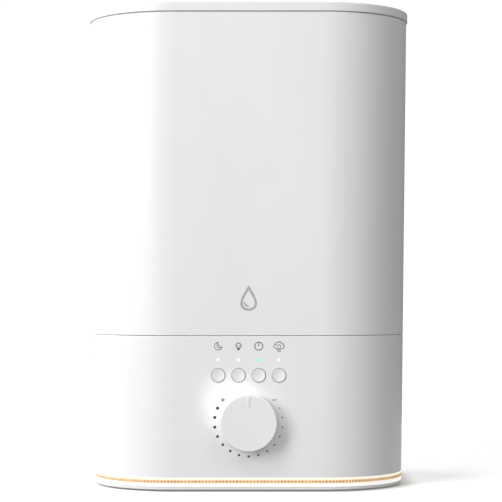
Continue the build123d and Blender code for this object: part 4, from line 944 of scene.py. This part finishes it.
class HUMIDIFIER_OT_electronics(Operator):
    """Dress the boards, their parts, the heatsink, the power inlet and the dial's control"""

    bl_idname = "humidifier.electronics"
    bl_label = "Electronics"

    def execute(self, context):
        dress(circuit_board(), "main_board", "control_board")
        dress(component_finish(), "board_components")
        dress(brushed("Heatsink", (0.55, 0.56, 0.58), 0.38, (0.1, 1, 1)), "driver_heatsink")
        black = moulded("Black plastic", (0.03, 0.03, 0.032), 0.48, grain=0.03 * MM)
        dress(black, "power_inlet", "key_switches")
        dress(brushed("Inlet brass", (0.72, 0.55, 0.28), 0.25, (1, 0.2, 1)), "inlet_pin")
        dress(brushed("Control case", (0.5, 0.52, 0.55), 0.35, (1, 1, 1)), "dial_potentiometer")
        dress(led_lamps(), "indicator_leds")
        return {"FINISHED"}


def component_finish():
    """Board parts: black sleeves, with a pale aluminium top on the tall capacitors and white sockets."""
    finish = Finish("Board parts", (0.04, 0.04, 0.045), 0.4)
    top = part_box("board_components")[1].z
    is_top = finish.span(finish.axis("Z"), top - 0.25 * MM, top - 0.15 * MM)
    sleeve = finish.mix(finish.noise(800, 3), (0.02, 0.02, 0.025), (0.06, 0.06, 0.07))
    finish.colour(finish.mix(is_top, sleeve, (0.6, 0.61, 0.62)))
    finish.bump(finish.noise(1600, 3), 0.03 * MM)
    return finish


def led_lamps():
    """Small lamps on the control board, with a pale phosphor cap."""
    finish = Finish("Board lamps", (0.8, 0.8, 0.72), 0.3)
    finish.colour(finish.mix(finish.noise(1500, 2), (0.75, 0.74, 0.6), (0.88, 0.88, 0.8)))
    finish.bump(finish.noise(3000, 2), 0.01 * MM)
    return finish


class HUMIDIFIER_OT_aroma(Operator):
    """Dress the aroma drawer and its bay, and make its pad"""

    bl_idname = "humidifier.aroma"
    bl_label = "Aroma drawer"

    def execute(self, context):
        dress(moulded("Drawer white", scaled(tuple(settings().colours.shell), 0.98), 0.42), "aroma_drawer")
        dress(inner_moulded("Bay white", (0.78, 0.79, 0.79), 0.52), "aroma_bay")
        low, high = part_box("aroma_pad")
        centre = (low + high) / 2
        half_x, half_y = (high.x - low.x) / 2, (high.y - low.y) / 2
        made = pad((centre.x, centre.y), half_x, half_y, 3 * MM, low.z + 0.02 * MM, high.z, 1.2 * MM)
        felt = foam("Pad felt", (0.80, 0.77, 0.70), 1500)
        piece = build("aroma_felt", [made], felt.material, "drawer")
        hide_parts("aroma_pad")
        return {"FINISHED"}


class HUMIDIFIER_OT_fasteners(Operator):
    """Dress the screws, the dial's nut, the transducer's clamp and the rubber feet"""

    bl_idname = "humidifier.fasteners"
    bl_label = "Fasteners and feet"

    def execute(self, context):
        dress(plated_steel(), "base_screws", "deck_screws", "clamp_screws", "fan_screws", "board_screws")
        dress(brushed("Nut steel", (0.64, 0.64, 0.65), 0.28, (1, 4, 1)), "dial_nut")
        dress(brushed("Clamp steel", (0.66, 0.67, 0.68), 0.3, (0.2, 1, 1)), "transducer_clamp")
        dress(rubber("Foot rubber", (0.10, 0.10, 0.10)), "rubber_feet")
        return {"FINISHED"}


def lamp(name, place, target, size, power):
    """A soft square lamp that faces a point."""
    data = bpy.data.lights.new(name, "AREA")
    data.shape = "RECTANGLE"
    data.size, data.size_y = size
    data.energy = power
    made = bpy.data.objects.new(name, data)
    bpy.context.scene.collection.objects.link(made)
    place, target = np.asarray(place, float), np.asarray(target, float)
    made.location = place
    made.rotation_euler = Vector(target - place).to_track_quat("-Z", "Y").to_euler()
    made.visible_camera = False
    return made


class HUMIDIFIER_OT_stage(Operator):
    """Lay the pale floor, set the lamps and the room's light, and place the camera"""

    bl_idname = "humidifier.stage"
    bl_label = "Floor, lamps and camera"

    def execute(self, context):
        studio = settings().studio
        add_floor(studio.floor_radius)
        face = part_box("tank_shell")[0].y
        aim = np.array([0, 0, cad_high.z / 2])
        ring = (
            ("Left rear lamp", -120, 17, (0.9, 1.2), studio.left_rear_power),
            ("Left side lamp", -95, 17, (0.9, 1.2), studio.left_side_power),
            ("Left lamp", -45, 17, (0.9, 1.2), studio.left_power),
            ("Key lamp", -41, 50, (0.6, 0.6), studio.key_power),
            ("Right lamp", 40, 40, (0.9, 0.9), studio.right_power),
            ("Low front lamp", 0, 4, (1.2, 0.4), studio.low_power),
        )
        for name, turn, climb, size, power in ring:
            turn, climb = math.radians(turn), math.radians(climb)
            level = math.cos(climb)
            way = np.array([level * math.sin(turn), -level * math.cos(turn), math.sin(climb)])
            lamp(name, aim + (0, face, 0) + studio.lamp_ring * way, aim, size, power)
        light_dial(studio)
        room(studio.room_light)
        data = bpy.data.cameras.new("Camera")
        data.sensor_width = 36.0
        data.lens = studio.lens
        data.shift_y = studio.rise
        camera = bpy.data.objects.new("Camera", data)
        camera.location = (CAMERA_SHIFT, face - studio.distance, studio.eye_height)
        camera.rotation_euler = (math.radians(90), 0, 0)
        scene = context.scene
        scene.collection.objects.link(camera)
        scene.camera = camera
        scene.view_settings.view_transform = "Standard"
        return {"FINISHED"}


def light_dial(studio):
    """A spot on the wall at the dial's upper left, and a lamp that grazes its rim from the upper right."""
    dial = middle("dial_knob")
    beside = Vector((dial.x - HALO_SHIFT, front_y(dial.z), dial.z + HALO_SHIFT))
    source = dial + Vector((-0.2, -0.45, 0.2))
    halo = lamp("Dial halo", source, beside, (0.06, 0.06), studio.halo_power)
    halo.data.type = "SPOT"
    halo.data.spot_size = 2 * math.atan(HALO_RADIUS / HALO_REACH)
    halo.data.spot_blend = 1.0
    light_only(halo, "base_housing")
    rim = lamp("Dial rim lamp", dial + Vector((0.3, -0.04, 0.6)), dial, (0.3, 0.3), studio.rim_power)
    light_only(rim, "dial_knob")


def floor_finish():
    """Pale floor with a light of its own, which fades out under the body and just round it as a painted
    contact shadow.

    The distance outside the foot is that of a rounded rectangle: the length of (|x|, |y|) less the corner
    centre, both kept above zero, less the corner's radius.
    """
    finish = Finish("Pale floor", (0.9, 0.9, 0.9), 0.6, Emission_Color=(1, 1, 1, 1))
    beyond = []
    for axis, corner in (("X", CORNER_X), ("Y", -CORNER_Y)):
        past = finish.maths("SUBTRACT", finish.maths("ABSOLUTE", finish.axis(axis)), corner)
        beyond.append(finish.maths("MAXIMUM", past, 0.0))
    out_x, out_y = beyond
    square = finish.maths("MULTIPLY_ADD", out_x, out_x, finish.maths("MULTIPLY", out_y, out_y))
    outside = finish.maths("SUBTRACT", finish.maths("SQRT", square), CORNER_RADIUS)
    # painted contact shadow: the floor's own light is zero under the body and grows to full over 14 mm
    # outside the foot
    floor_glow_with_painted_contact_shadow = finish.span(outside, -3 * MM, 14 * MM, 0.0, 0.5)
    finish.feed(finish.shader.inputs["Emission Strength"], floor_glow_with_painted_contact_shadow)
    finish.colour(finish.mix(finish.noise(40, 4), (0.88, 0.88, 0.88), (0.92, 0.92, 0.92)))
    return finish


def light_only(lamp_object, *names):
    """Keeps a lamp's light to some of the nodes."""
    lit = bpy.data.collections.new(f"{lamp_object.name} lights")
    for name in names:
        lit.objects.link(nodes[name])
    lamp_object.light_linking.receiver_collection = lit


def add_floor(radius):
    """A round floor: rings of points whose radius grows as the square of the ring's share."""
    share = np.linspace(0, 1, 24)
    turn = np.linspace(0, 2 * np.pi, 64, endpoint=False)
    x = radius * share[:, None] ** 2 * np.cos(turn)
    y = radius * share[:, None] ** 2 * np.sin(turn)
    points = np.stack([x, y, 0 * x], axis=-1).reshape(-1, 3)
    mesh = bpy.data.meshes.new("floor")
    mesh.from_pydata(points.tolist(), [], grid_faces(len(share), len(turn)).tolist())
    mesh.materials.append(floor_finish().material)
    floor = bpy.data.objects.new("floor", mesh)
    floor.visible_diffuse = False
    bpy.context.scene.collection.objects.link(floor)


def room(strength):
    """The room: white behind everything, and a softer white as light on the object."""
    world = bpy.data.worlds.new("Room")
    world.use_nodes = True
    tree = world.node_tree
    background = tree.nodes["Background"]
    background.inputs["Color"].default_value = (1, 1, 1, 1)
    seen = tree.nodes.new("ShaderNodeLightPath").outputs["Is Camera Ray"]
    level = tree.nodes.new("ShaderNodeMapRange")
    level.inputs["To Min"].default_value = strength
    level.inputs["To Max"].default_value = 1.05
    tree.links.new(seen, level.inputs["Value"])
    tree.links.new(level.outputs["Result"], background.inputs["Strength"])
    bpy.context.scene.world = world


class HUMIDIFIER_PT_panel(Panel):
    """Lists the settings and the steps"""

    bl_label = "Humidifier"
    bl_space_type = "VIEW_3D"
    bl_region_type = "UI"
    bl_category = "Humidifier"

    def draw(self, context):
        held = context.scene.humidifier
        for group in (held.prints, held.band, held.colours, held.studio):
            box = self.layout.box()
            for name in group.__annotations__:
                box.prop(group, name)
        for step in STEPS:
            self.layout.operator(step.bl_idname)


STEPS = (
    HUMIDIFIER_OT_stage,
    HUMIDIFIER_OT_casing,
    HUMIDIFIER_OT_controls,
    HUMIDIFIER_OT_dial_scale,
    HUMIDIFIER_OT_symbols,
    HUMIDIFIER_OT_drop_mark,
    HUMIDIFIER_OT_light_band,
    HUMIDIFIER_OT_water_side,
    HUMIDIFIER_OT_air_side,
    HUMIDIFIER_OT_electronics,
    HUMIDIFIER_OT_aroma,
    HUMIDIFIER_OT_fasteners,
)
CLASSES = (PrintSizes, BandSizes, Colours, Studio, Humidifier, *STEPS, HUMIDIFIER_PT_panel)


def register():
    for cls in CLASSES:
        bpy.utils.register_class(cls)
    bpy.types.Scene.humidifier = PointerProperty(type=Humidifier)


def unregister():
    del bpy.types.Scene.humidifier
    for cls in reversed(CLASSES):
        bpy.utils.unregister_class(cls)


def main():
    """Registers the add-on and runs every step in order."""
    register()
    for step in STEPS:
        group, name = step.bl_idname.split(".")
        getattr(getattr(bpy.ops, group), name)()


if __name__ == "__main__":
    main()
